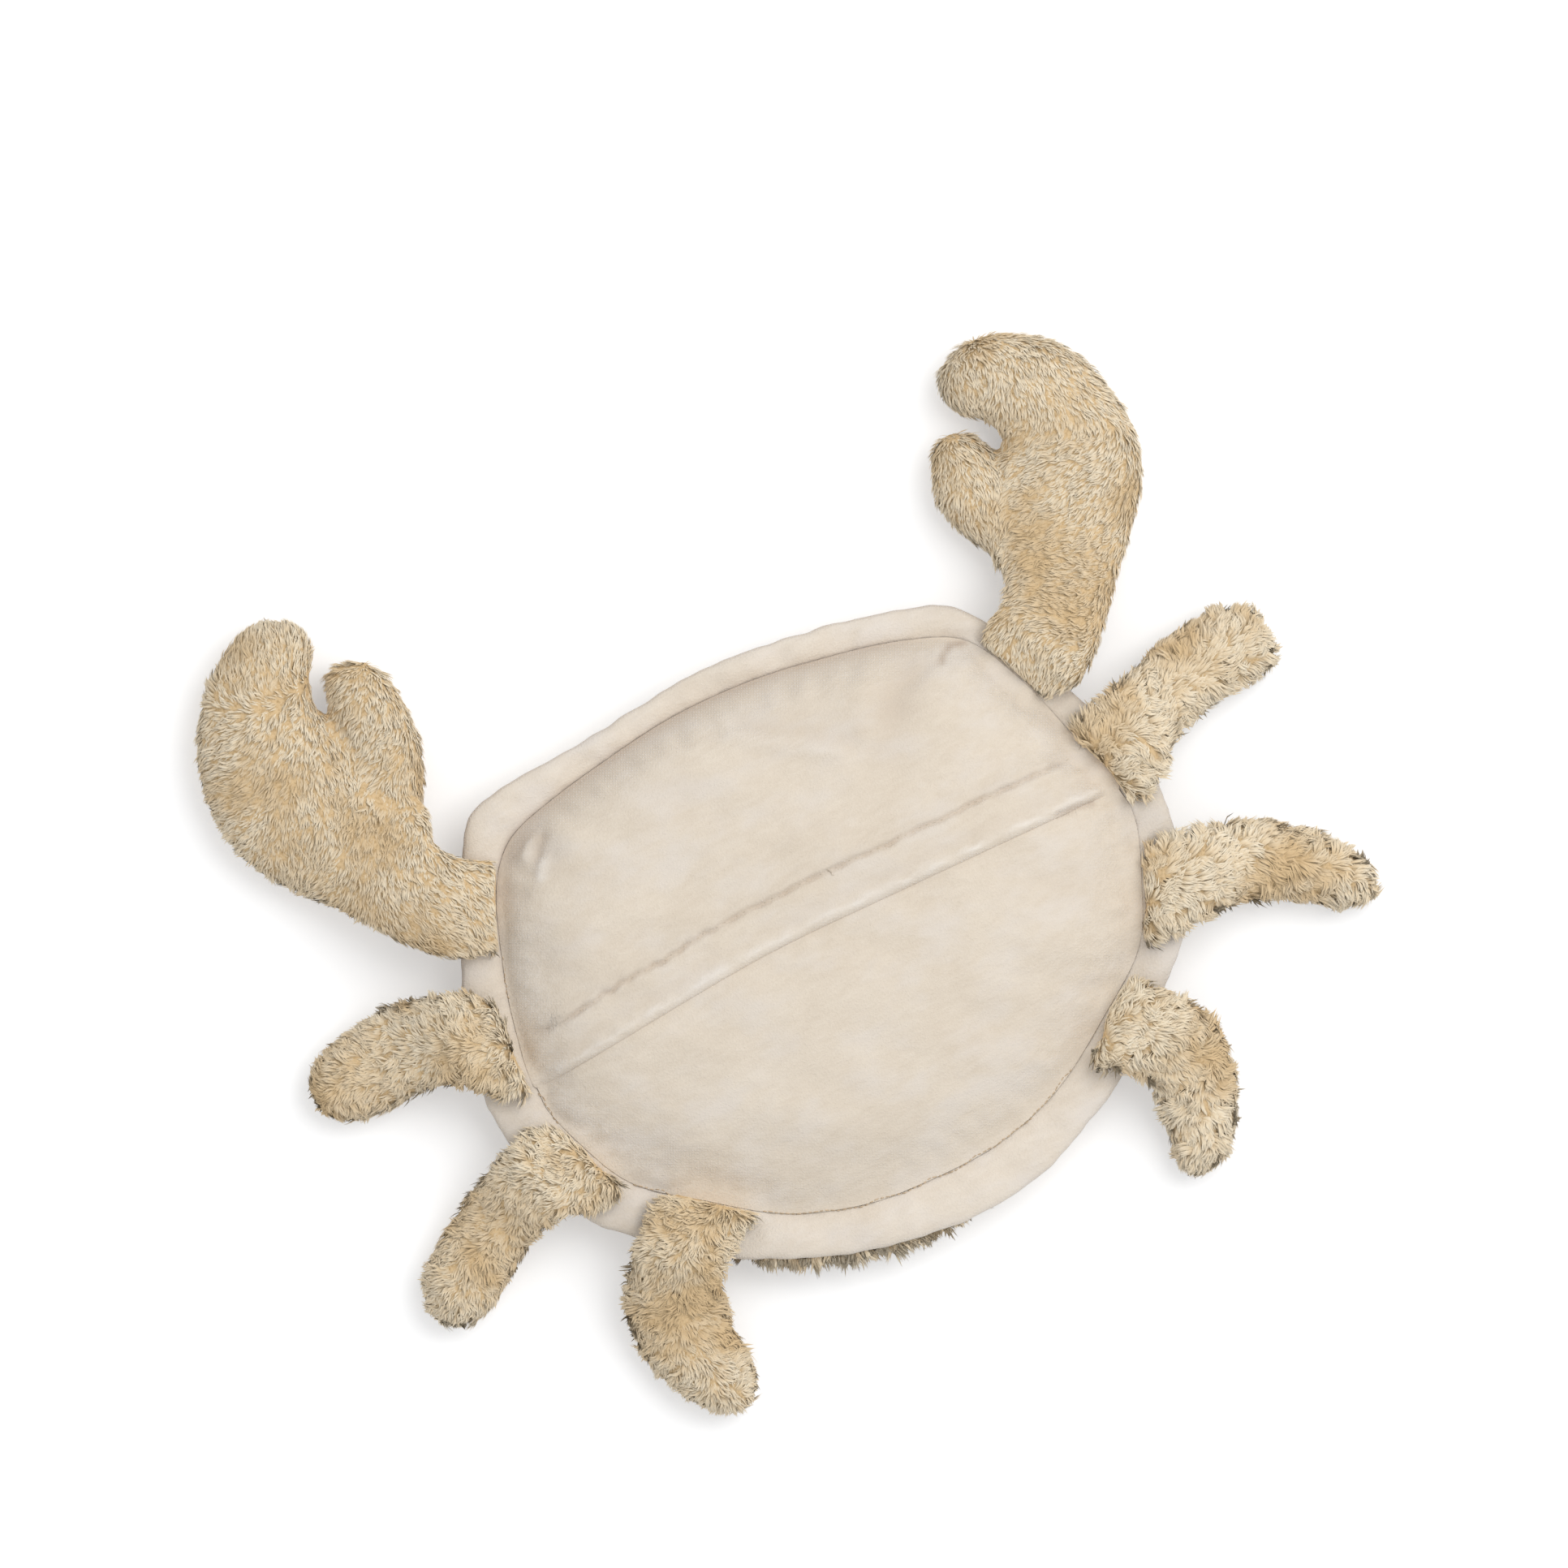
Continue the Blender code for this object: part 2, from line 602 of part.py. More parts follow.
def limb_ribs(name, pattern, reach, tip_name=None, branch=None):
    """The ribs and tip of a limb or its branch, seated on the seam and stretched to the limb's reach."""
    base = np.mean(pattern[0], axis=0)
    grow = reach / np.hypot(*(np.array(TIPS[name]) - base))

    def place(point):
        return on_body(base) + (np.array(point) - base) * grow

    ribs = [[place(point) for point in rib] for rib in branch or pattern]
    return ribs, place(TIPS[tip_name or name])


def limb_mesh(ribs, tip, thickness, base_thickness, arm_thickness, sewn=True):
    """Verts and faces of a stuffed limb through its ribs, over the rim and down to the floor."""
    verts = []
    travelled = 0.0
    middle = np.mean(ribs[0], axis=0)
    centre_height = 0.0
    for near, far in ribs:
        here = (near + far) / 2
        travelled += np.hypot(*(here - middle))
        middle = here
        clear = min(RIM.outside(near), RIM.outside(here), RIM.outside(far))
        descent = smoothstep(GAP, LIMB_DROP_LENGTH, clear)
        body = arm_thickness + (thickness - arm_thickness) * descent
        fullness = smoothstep(0, LIMB_FILL_LENGTH, travelled + LIMB_FILL_LEAD)
        filled = base_thickness + (body - base_thickness) * fullness
        low = (RIM_TOP + GAP) * (1 - descent) - LIMB_SETTLE * descent
        centre_height = low + filled / 2 if sewn else CLAW_THICKNESS / 2 - LIMB_SETTLE
        half_width = np.hypot(*(far - near)) / 2
        half_height = min(filled / 2, half_width * LIMB_ROUNDEST)
        for side in range(LIMB_SIDES):
            angle = 2 * math.pi * (side + 0.5) / LIMB_SIDES
            place = here + (far - near) / 2 * math.cos(angle)
            verts.append((*place, max(0.0, centre_height + half_height * math.sin(angle))))
    count = len(ribs)
    verts.append((*tip, centre_height))
    last = len(verts) - 1
    faces = [tuple(range(LIMB_SIDES))]
    for ring in range(count - 1):
        for side in range(LIMB_SIDES):
            after = (side + 1) % LIMB_SIDES
            low, high = ring * LIMB_SIDES, (ring + 1) * LIMB_SIDES
            faces.append((low + side, low + after, high + after, high + side))
    top = (count - 1) * LIMB_SIDES
    for side in range(LIMB_SIDES):
        faces.append((top + side, top + (side + 1) % LIMB_SIDES, last))
    return verts, faces


def make_leg(name, pattern, reach):
    ribs, tip = limb_ribs(name, pattern, reach)
    verts, faces = limb_mesh(ribs, tip, LEG_THICKNESS, LIMB_SEAM_THICKNESS, LEG_THICKNESS_ON_RIM)
    return new_object(name, verts, faces, PLUSH)


def make_claw(name, pattern, finger_name, finger, reach):
    """The arm, palm and large finger in one run, joined with the small finger."""
    ribs, tip = limb_ribs(name, pattern, reach)
    verts, faces = limb_mesh(ribs, tip, CLAW_THICKNESS, LIMB_SEAM_THICKNESS, ARM_THICKNESS)
    claw = new_object(name, verts, faces, PLUSH)
    ribs, tip = limb_ribs(name, pattern, reach, finger_name, finger)
    verts, faces = limb_mesh(ribs, tip, FINGER_THICKNESS, FINGER_THICKNESS, FINGER_THICKNESS, sewn=False)
    piece = new_object(finger_name, verts, faces, PLUSH)
    piece.hide_render = True
    piece.display_type = "WIRE"
    join = claw.modifiers.new("small_finger", "BOOLEAN")
    join.operation = "UNION"
    join.solver = "EXACT"
    join.object = piece
    return claw


def make_eye(name, side):
    """A plain stitched eye on the front of the shell, facing out and down."""
    front_angle = math.pi / 2 - side * math.asin(EYE_SPACING / 2 / RIM.radius(math.pi / 2))
    place = RIM.at(front_angle, EYE_SHARE)
    step = 0.01
    run = RIM.radius(front_angle) * 2 * step
    slope = (shell_height(EYE_SHARE + step) - shell_height(EYE_SHARE - step)) / run
    out = Vector((slope * math.cos(front_angle), slope * math.sin(front_angle), -1)).normalized()
    seat = Vector((*place, shell_height(EYE_SHARE))) + out * GAP
    across = Vector((-math.sin(front_angle), math.cos(front_angle), 0)).normalized()
    along = out.cross(across).normalized()
    verts = [seat]
    for share, lift in ((0.86, 0.0), (1.0, 0.4), (0.8, 0.85)):
        for angle in ring_angles(EYE_SIDES):
            spread = (across * math.cos(angle) + along * math.sin(angle)) * (EYE_DIAMETER / 2 * share)
            verts.append(seat + spread + out * EYE_THICKNESS * lift)
    verts.append(seat + out * EYE_THICKNESS)
    return new_object(name, verts, rings_to_faces(0, 3, EYE_SIDES, len(verts) - 1), THREAD, 0.6)


def main():
    for old in list(bpy.data.objects):
        bpy.data.objects.remove(old, do_unlink=True)
    make_shell()
    make_rim()
    make_filling()
    make_lining()
    make_heat_pillow()
    make_panel("belly_rear_panel", False, rear_level)
    make_panel("belly_front_panel", True, front_level)
    make_tape("hook_tape", hook_level)
    make_tape("loop_tape", loop_level)
    make_claw("claw_left", CLAW_LEFT, "finger_left", FINGER_LEFT, CLAW_REACH_LEFT)
    make_claw("claw_right", CLAW_RIGHT, "finger_right", FINGER_RIGHT, CLAW_REACH_RIGHT)
    make_leg("leg_left_front", LEG_LEFT_FRONT, LEG_REACH_LEFT_FRONT)
    make_leg("leg_left_middle", LEG_LEFT_MIDDLE, LEG_REACH_LEFT_MIDDLE)
    make_leg("leg_left_rear", LEG_LEFT_REAR, LEG_REACH_LEFT_REAR)
    make_leg("leg_right_front", LEG_RIGHT_FRONT, LEG_REACH_RIGHT_FRONT)
    make_leg("leg_right_middle", LEG_RIGHT_MIDDLE, LEG_REACH_RIGHT_MIDDLE)
    make_leg("leg_right_rear", LEG_RIGHT_REAR, LEG_REACH_RIGHT_REAR)
    make_eye("eye_left", -1)
    make_eye("eye_right", 1)


main()
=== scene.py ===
"""Looks of a stuffed crab heat pillow that lies on its shell with its belly up.

The limbs and the shell carry a long tan plush, made lock by lock over a stuffed backing. The belly is a
velour pouch of two panels with a closure, and a velour rim lies round it. Lengths are in millimetres in
the crab's own frame, +Y to its front, and become metres where a mesh is made.
"""

import math

import bmesh
import bpy
import numpy as np
from bpy.props import FloatProperty, FloatVectorProperty, IntProperty, PointerProperty
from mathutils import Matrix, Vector
from mathutils.kdtree import KDTree


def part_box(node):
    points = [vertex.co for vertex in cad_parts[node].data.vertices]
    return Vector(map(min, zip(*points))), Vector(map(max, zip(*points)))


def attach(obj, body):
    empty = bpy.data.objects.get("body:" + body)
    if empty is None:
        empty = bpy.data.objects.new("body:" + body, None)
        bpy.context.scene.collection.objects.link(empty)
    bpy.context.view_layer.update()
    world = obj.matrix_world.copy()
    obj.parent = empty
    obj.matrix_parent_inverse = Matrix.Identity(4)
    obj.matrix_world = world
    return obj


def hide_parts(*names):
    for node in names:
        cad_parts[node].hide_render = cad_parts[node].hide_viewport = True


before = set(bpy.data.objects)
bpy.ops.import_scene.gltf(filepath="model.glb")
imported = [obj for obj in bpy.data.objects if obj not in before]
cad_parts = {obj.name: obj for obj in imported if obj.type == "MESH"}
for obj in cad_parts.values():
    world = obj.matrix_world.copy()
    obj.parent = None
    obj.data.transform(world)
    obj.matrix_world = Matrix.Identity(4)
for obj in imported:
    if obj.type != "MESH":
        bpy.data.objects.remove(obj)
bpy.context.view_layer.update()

bl_info = {
    "name": "Stuffed crab heat pillow",
    "version": (1, 0, 0),
    "blender": (4, 5, 0),
    "location": "View3D > Sidebar > Crab",
    "description": "Plush, velour and stitching for the crab, and a stage to show it on",
    "category": "Object",
}

MM = 0.001

# The body's centre, about which its outlines are read
CENTRE = np.array((0.0, -14.0))

# The belly's crown and walls, the closure across it, its fabric, and the shell's bowl
BELLY_CROWN_SHARE = 0.28
BELLY_WALL_CURVE = 7.0
FRONT_WALL_CURVE = 5.0
REAR_WALL_CURVE = 3.6
VALLEY_LIFT = 2.0
VALLEY_SOFTNESS = 2.0
CLOSURE_WIDTH = 16.0
CLOSURE_FROM_CENTRE = 4.0
CLOSURE_SAG_LEFT = 9.0
CLOSURE_LIFT = 1.4
CLOSURE_HALF_LENGTH = 123.75
CLOSURE_FADE_START = 33.6
CLOSURE_FADE_END = 17.6
FABRIC_THICKNESS = 1.4
FABRIC_GAP = 0.08
CLOSURE_DIP = 1.0
REST_PATCH_SHARE = 0.45
SHELL_RISE = 12.4

# Brush strokes over the claws' pile: a place and the way it lies, in degrees from +X
CLAW_STROKES = {
    "claw_left": [
        (-125, 155, 75), (-163, 115, 175), (-135, 110, 240), (-130, 85, 235), (-103, 125, 230),
        (-145, 65, 205), (-115, 50, 305), (-97, 45, 280),
    ],
    "claw_right": [
        (140, 140, 267), (160, 120, 275), (160, 85, 205), (135, 90, 178), (105, 105, 265),
        (125, 50, 165), (98, 45, 225),
    ],
}

# Middle lines of the legs, from the seam to the tip
LEG_LINES = {
    "leg_left_front": [(-108, -3), (-126, 7), (-143, 11), (-163, 10), (-176, 9)],
    "leg_left_middle": [(-100, -47), (-119, -46), (-137, -53), (-154, -65), (-168, -73)],
    "leg_left_rear": [(-69, -78), (-83, -86), (-93, -98), (-96, -115), (-93, -142)],
    "leg_right_front": [(109, 0), (124, 5), (141, 13), (163, 17), (178, 17)],
    "leg_right_middle": [(103, -46), (125, -47), (146, -52), (163, -65), (174, -74)],
    "leg_right_rear": [(72, -80), (85, -87), (93, -99), (92, -111), (86, -138)],
}


def smoothstep(low, high, value):
    """0 below low, 1 above high and a soft rise between."""
    t = np.clip((value - low) / (high - low), 0, 1)
    return t * t * (3 - 2 * t)


def unit(vectors):
    """Vectors of length one, along the last axis."""
    return vectors / np.maximum(np.linalg.norm(vectors, axis=-1, keepdims=True), 1e-9)


def wobble(points, wavelength, seed, waves=6):
    """A smooth random wave over points, between about -1 and 1."""
    rng = np.random.default_rng(seed)
    ways = unit(rng.normal(size=(waves, points.shape[-1])))
    stretch = rng.uniform(0.7, 1.5, waves)
    phase = rng.uniform(0, math.tau, waves)
    angles = points @ (ways * stretch[:, None]).T * (math.tau / wavelength) + phase
    return np.sin(angles).sum(-1) / math.sqrt(waves)


def heading(x, y):
    """The angle of a place about the body's centre."""
    return np.arctan2(y - CENTRE[1], x - CENTRE[0])


def turned(angle, middle):
    """How far an angle is turned from a middle angle, at most half a turn either way."""
    return (angle - middle + math.pi) % math.tau - math.pi


def plan_points(node):
    """The points of a CAD node as seen from above, in millimetres."""
    return np.array([(v.co.x / MM, v.co.y / MM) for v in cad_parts[node].data.vertices])


# Knots of an outline that are read from its mesh, and how many finer places each of them becomes
OUTLINE_KNOTS = 72
OUTLINE_FINENESS = 8


class Outline:
    """A closed outline of the body, read by its angle about the centre."""

    def __init__(self, node, pick):
        """Reads a node's points: pick takes the outline's radius from those that lie at a knot."""
        points = plan_points(node)
        radii = np.hypot(*(points - CENTRE).T)
        slots = np.round(heading(*points.T) / math.tau * OUTLINE_KNOTS).astype(int) % OUTLINE_KNOTS
        knots = np.array([pick(radii[slots == slot]) for slot in range(OUTLINE_KNOTS)])
        fine = OUTLINE_KNOTS * OUTLINE_FINENESS
        spectrum = np.fft.rfft(knots)
        padded = np.pad(spectrum, (0, fine // 2 + 1 - len(spectrum)))
        self.radii = np.fft.irfft(padded, fine) * OUTLINE_FINENESS
        self.angles = np.arange(fine) * math.tau / fine

    def radius(self, angle):
        """How far the outline lies from the centre at an angle."""
        return np.interp(angle, self.angles, self.radii, period=math.tau)

    def distances(self, x, y):
        """How far a place and the outline beside it lie from the centre."""
        return np.hypot(x - CENTRE[0], y - CENTRE[1]), self.radius(heading(x, y))

    def share(self, x, y):
        """How far out a place lies: 0 at the centre and 1 on the outline."""
        place, edge = self.distances(x, y)
        return place / edge

    def outside(self, x, y):
        """How far outside the outline a place lies, below 0 inside it."""
        place, edge = self.distances(x, y)
        return place - edge

    def at(self, angle, share=1.0, extra=0.0):
        """Places at angles, at a share of the outline's radius and an extra distance beyond."""
        reach = self.radius(angle) * share + extra
        return np.stack((CENTRE[0] + reach * np.cos(angle), CENTRE[1] + reach * np.sin(angle)), -1)


# How far the seam is drawn in from the inner edge of the rim's solid
SEAM_GROOVE = 1.6
RIM = Outline("rim_facing", np.max)
SEAM = Outline("rim_facing", lambda radii: radii.min() - SEAM_GROOVE)
SEAM_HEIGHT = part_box("belly_rear_panel")[0].z / MM
BELLY_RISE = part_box("belly_front_panel")[1].z / MM - CLOSURE_LIFT - SEAM_HEIGHT
RIM_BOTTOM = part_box("rim_facing")[0].z / MM
RIM_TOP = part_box("rim_facing")[1].z / MM


# How far the seam rises where it takes in each limb
LIMB_LIFTS = {
    "claw_left": 2.4, "claw_right": 5.6, "leg_left_front": 3.0, "leg_left_middle": 3.0,
    "leg_left_rear": 3.0, "leg_right_front": 5.6, "leg_right_middle": 4.0, "leg_right_rear": 3.4,
}
# Points of a limb count as its sewn end up to this far outside the seam
BASE_REACH = 2.0
# The angles inside and outside a sewn end over which the seam rises
LIFT_INSIDE = 0.07
LIFT_OUTSIDE = 0.05


def limb_bases():
    """The middle angle, half angle and lift of the stretch of seam that each limb is sewn into."""
    bases = []
    for name, lift in LIMB_LIFTS.items():
        places = plan_points(name)
        sewn = places[SEAM.outside(places[:, 0], places[:, 1]) < BASE_REACH]
        middle = heading(*sewn.mean(axis=0))
        turns = turned(heading(sewn[:, 0], sewn[:, 1]), middle)
        bases.append((middle + (turns.max() + turns.min()) / 2, (turns.max() - turns.min()) / 2, lift))
    return bases


LIMB_BASES = limb_bases()


def seam_lift(angle):
    """How much higher the seam runs where it takes in a limb."""
    total = np.zeros_like(angle)
    for middle, half, lift in LIMB_BASES:
        gap = np.abs(turned(angle, middle))
        total += lift * (1 - smoothstep(half - LIFT_INSIDE, half + LIFT_OUTSIDE, gap))
    return total


def lower_closure(x):
    """The folded edge of the front panel, which sags towards the crab's left end."""
    sag = CLOSURE_SAG_LEFT * smoothstep(0.0, 1.0, -x / CLOSURE_HALF_LENGTH)
    return CENTRE[1] + CLOSURE_FROM_CENTRE - sag


def closure_share(x, y):
    """0 on the folded edge of the closure and 1 on its stitched line."""
    return (y - lower_closure(x)) / CLOSURE_WIDTH


def closure_middle(x):
    """1 along the taped middle of the closure, fading to 0 at the seam."""
    low, high = CLOSURE_HALF_LENGTH - CLOSURE_FADE_START, CLOSURE_HALF_LENGTH - CLOSURE_FADE_END
    return 1 - smoothstep(low, high, np.abs(x))


def belly_height(x, y):
    """The belly: a soft crown with a wall at the seam, steep at the front and gentle at the rear."""
    share = np.minimum(SEAM.share(x, y), 1.0)
    angle = heading(x, y)
    front, rear = np.maximum(np.sin(angle), 0), np.maximum(-np.sin(angle), 0)
    curve = BELLY_WALL_CURVE + FRONT_WALL_CURVE * front - REAR_WALL_CURVE * rear
    crown = BELLY_CROWN_SHARE * (1 - share ** 2)
    wall = (1 - BELLY_CROWN_SHARE) * (1 - share ** curve)
    return SEAM_HEIGHT + BELLY_RISE * (crown + wall)


# Meshes


def build_mesh(name, verts, faces):
    """A smooth mesh from arrays: verts in millimetres, and faces that all have as many corners."""
    mesh = bpy.data.meshes.new(name)
    mesh.vertices.add(len(verts))
    mesh.vertices.foreach_set("co", (verts * MM).astype(np.float32).ravel())
    mesh.loops.add(faces.size)
    mesh.loops.foreach_set("vertex_index", faces.astype(np.int32).ravel())
    mesh.polygons.add(len(faces))
    mesh.polygons.foreach_set("loop_start", np.arange(0, faces.size, faces.shape[1], dtype=np.int32))
    mesh.polygons.foreach_set("use_smooth", np.ones(len(faces), bool))
    mesh.update(calc_edges=True)
    return mesh


def new_piece(name, mesh, material):
    """An object on the crab's body, with its finish."""
    piece = bpy.data.objects.new(name, mesh)
    bpy.context.scene.collection.objects.link(piece)
    mesh.materials.clear()
    mesh.materials.append(material)
    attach(piece, "root")
    return piece


def corner_map(mesh, name, values):
    """A UV map from a value pair for each face corner."""
    layer = mesh.uv_layers.new(name=name)
    layer.uv.foreach_set("vector", values.astype(np.float32).ravel())


def painted_light_map(mesh, painted_shade, painted_highlight):
    """A UV map of how much painted shade each point of the velour gets, and how much painted highlight."""
    corners = np.empty(len(mesh.loops), np.int32)
    mesh.loops.foreach_get("vertex_index", corners)
    corner_map(mesh, "painted_light", np.stack((painted_shade, painted_highlight), -1)[corners])


def grid_faces(rows, columns, closed):
    """Quads of a grid of rows and columns, whose last column joins the first if it is closed."""
    across = np.arange(columns if closed else columns - 1)
    row, column = np.meshgrid(np.arange(rows - 1), across, indexing="ij")
    after = (column + 1) % columns
    low, high = row * columns, (row + 1) * columns
    return np.stack((low + column, low + after, high + after, high + column), -1).reshape(-1, 4)


def evaluated_mesh(thing):
    """The mesh of an object with its modifiers, and no modifier left."""
    bpy.context.view_layer.update()
    graph = bpy.context.evaluated_depsgraph_get()
    mesh = bpy.data.meshes.new_from_object(thing.evaluated_get(graph), depsgraph=graph)
    thing.modifiers.clear()
    thing.data = mesh
    return mesh


def coordinates(mesh):
    """A mesh's points, in millimetres."""
    places = np.empty(len(mesh.vertices) * 3, np.float32)
    mesh.vertices.foreach_get("co", places)
    return places.reshape(-1, 3).astype(float) / MM


def normals_of(mesh):
    """The way that a mesh faces at each of its points."""
    ways = np.empty(len(mesh.vertices) * 3, np.float32)
    mesh.vertex_normals.foreach_get("vector", ways)
    return ways.reshape(-1, 3).astype(float)


def move_points(mesh, places):
    """Moves a mesh's points to places in millimetres."""
    mesh.vertices.foreach_set("co", (places * MM).astype(np.float32).ravel())
    mesh.update()


# Materials


class Value:
    """A socket that adds Math nodes where it is used in an expression."""

    def __init__(self, owner, socket):
        self.owner = owner
        self.socket = socket

    def math(self, operation, *values):
        """What a Math node makes of some values."""
        return self.owner.node("ShaderNodeMath", {"operation": operation}, dict(enumerate(values)))

    def __add__(self, other):
        return self.math("ADD", self, other)

    def __radd__(self, other):
        return self.math("ADD", other, self)

    def __sub__(self, other):
        return self.math("SUBTRACT", self, other)

    def __rsub__(self, other):
        return self.math("SUBTRACT", other, self)

    def __mul__(self, other):
        return self.math("MULTIPLY", self, other)

    def __rmul__(self, other):
        return self.math("MULTIPLY", other, self)

    def sine(self):
        """The sine of the value, taken as an angle in radians."""
        return self.math("SINE", self)

    def held(self, low=0.0, high=1.0):
        """The value, kept between two limits."""
        return self.math("MINIMUM", self.math("MAXIMUM", self, low), high)

    def rise(self, low, high):
        """0 below low, 1 above high, with a soft rise between."""
        inputs = {"Value": self, "From Min": low, "From Max": high}
        return self.owner.node("ShaderNodeMapRange", {"interpolation_type": "SMOOTHSTEP"}, inputs)


class Nodes:
    """A node tree whose nodes are all made in one way."""

    def __init__(self, tree):
        self.tree = tree

    def give(self, socket, value):
        """Links a socket to a value, or sets it to a number, a vector or a colour."""
        if isinstance(value, Value):
            self.tree.links.new(value.socket, socket)
        elif socket.type == "RGBA" and len(value) == 3:
            socket.default_value = (*value, 1)
        else:
            socket.default_value = value

    def node(self, kind, settings=None, inputs=None, output=0):
        """A node of a kind, with its settings first and then what its sockets get; outputs may be several."""
        made = self.tree.nodes.new(kind)
        for name, setting in (settings or {}).items():
            setattr(made, name, setting)
        for name, value in (inputs or {}).items():
            self.give(made.inputs[name], value)
        if isinstance(output, tuple):
            return [Value(self, made.outputs[key]) for key in output]
        return Value(self, made.outputs[output])

    def seen(self):
        """1 for rays that show the surroundings, straight or in a gloss, and 0 for the light on the crab."""
        rays = ("Is Camera Ray", "Is Glossy Ray", "Is Transmission Ray")
        straight, glossy, clear = self.node("ShaderNodeLightPath", output=rays)
        return straight.math("MAXIMUM", straight.math("MAXIMUM", straight, glossy), clear)


class Finish(Nodes):
    """A material and the nodes that make it."""

    def __init__(self, name, roughness, sheen=0.0, sheen_tint=(1, 1, 1)):
        self.material = bpy.data.materials.new(name)
        self.material.use_nodes = True
        super().__init__(self.material.node_tree)
        self.shader = self.tree.nodes["Principled BSDF"]
        self.set("Roughness", roughness)
        self.set("Specular IOR Level", 0.25)
        self.set("Sheen Weight", sheen)
        self.set("Sheen Roughness", 0.5)
        self.set("Sheen Tint", (*sheen_tint, 1))

    def set(self, socket, value):
        """Gives one of the shader's sockets a value or a link."""
        self.give(self.shader.inputs[socket], value)

    def mix(self, factor, first, second):
        """A colour between two colours, which are a Mix node's inputs 6 and 7 and its output 2."""
        return self.node("ShaderNodeMix", {"data_type": "RGBA"}, {0: factor, 6: first, 7: second}, 2)

    def place(self):
        """Where a point of the piece lies, in metres."""
        return self.node("ShaderNodeTexCoord", output="Object")

    def facing(self):
        """The three numbers of the way that a point of the piece faces."""
        return self.parts(self.node("ShaderNodeNewGeometry", output="Normal"))

    def scaled(self, vector, x, y, z):
        """A vector stretched along each axis."""
        inputs = {0: vector, 1: (x, y, z)}
        return self.node("ShaderNodeVectorMath", {"operation": "MULTIPLY"}, inputs)

    def noise(self, vector, scale, detail=2.0, roughness=0.5, distortion=0.0):
        """Cloudy noise between 0 and 1, with this many clouds in a metre."""
        inputs = {"Vector": vector, "Scale": scale, "Detail": detail, "Roughness": roughness}
        return self.node("ShaderNodeTexNoise", inputs={**inputs, "Distortion": distortion})

    def ridges(self, vector, pitch_mm, direction, distortion=0.0):
        """Ridges between 0 and 1 across a direction, a pitch apart."""
        inputs = {"Vector": vector, "Scale": 1 / (pitch_mm * MM * 6), "Distortion": distortion}
        return self.node("ShaderNodeTexWave", {"bands_direction": direction}, inputs, "Fac")

    def parts(self, vector):
        """The three numbers of a vector."""
        return self.node("ShaderNodeSeparateXYZ", inputs={0: vector}, output=(0, 1, 2))

    def joined(self, x, y, z):
        """A vector of three numbers."""
        return self.node("ShaderNodeCombineXYZ", inputs={0: x, 1: y, 2: z})

    def map(self, name):
        """The two numbers of a UV map."""
        return self.parts(self.node("ShaderNodeUVMap", {"uv_map": name}))[:2]

    def nearness(self, place, spot, radius):
        """1 at a spot, given in millimetres, and 0 beyond a radius."""
        inputs = {0: place, 1: tuple(part * MM for part in spot)}
        gap = self.node("ShaderNodeVectorMath", {"operation": "DISTANCE"}, inputs, "Value")
        return 1 - gap.rise(0.25 * radius * MM, radius * MM)

    def bump(self, height, distance_mm, strength=1.0):
        """Normals that follow a height, which stands this far off at 1."""
        inputs = {"Height": height, "Distance": distance_mm * MM, "Strength": strength}
        return self.node("ShaderNodeBump", inputs=inputs)


def tinted(colour, tint):
    """A colour times a tint, held at 1 or below."""
    return tuple(min(1.0, part * share) for part, share in zip(colour, tint))


def shaded(colour, share):
    """A colour made darker, to a share of its light."""
    return tinted(colour, (share, share, share))


# Places where the pile is tanner: a middle, a radius and how much
TAN_SPOTS = [
    ((-147, 84, 22), 20, 0.45), ((-116, 46, 30), 20, 0.4), ((-104, 30, 30), 12, 0.35),
    ((124, 58, 26), 30, 0.75), ((-162, 10, 14), 26, 0.6), ((-140, -60, 16), 34, 0.7),
    ((-92, -104, 16), 34, 0.7), ((152, 26, 14), 22, 0.4), ((156, -58, 14), 22, 0.5),
    ((98, -100, 16), 24, 0.4),
]


def plush_finish(settings):
    """Long plush: each lock is dark at its root, light at its tip, and streaked along its length."""
    finish = Finish("plush_pile", 0.8, 0.12, (1.0, 0.9, 0.72))
    across, along = finish.map("lock")
    shade, clump = finish.map("traits")
    streaks = finish.noise(finish.joined(across * 4.5 + shade * 61, along * 0.7, clump * 83), 1.0, 1.0)
    light = along.rise(0.15, 0.95) * 0.75 + (streaks - 0.5) * 0.9 + (shade - 0.5) * 0.45
    light = light.held()
    body = finish.mix(light, settings.middle_colour, settings.tip_colour)
    place = finish.place()
    patches = finish.noise(place, settings.patch_scale, 2.0)
    flecks = finish.noise(place, settings.patch_scale * 4, 1.0)
    tan = patches.rise(0.44, 0.7) * 0.7 + flecks.rise(0.5, 0.75) * 0.2 + (clump - 0.3) * 0.16
    for spot, radius, strength in TAN_SPOTS:
        tan = tan + finish.nearness(place, spot, radius) * (strength * 0.7)
    tanned = finish.mix(tan.held(), body, settings.tan_colour)
    # Root colour towards the roots and in the dark streaks: partly the pile's own darker tone, partly painted
    # shade deep in the pile
    depth = ((1 - along.rise(0.0, 0.6)) * 0.6 + (0.5 - streaks).held() * 0.5).held()
    finish.set("Base Color", finish.mix(depth, tanned, settings.root_colour))
    finish.set("Normal", finish.bump(streaks, 0.25, 0.7))
    return finish.material


def backing_finish(settings):
    """The plush's knitted backing, which shows dark between the locks: its root colour is partly painted
    shade there.
    """
    finish = Finish("plush_backing", 0.95)
    place = finish.place()
    stubble = finish.noise(place, 900, 2.0)
    finish.set("Base Color", finish.mix(stubble.rise(0.2, 0.6), settings.root_colour, settings.tan_colour))
    finish.set("Normal", finish.bump(stubble, 0.5))
    return finish.material
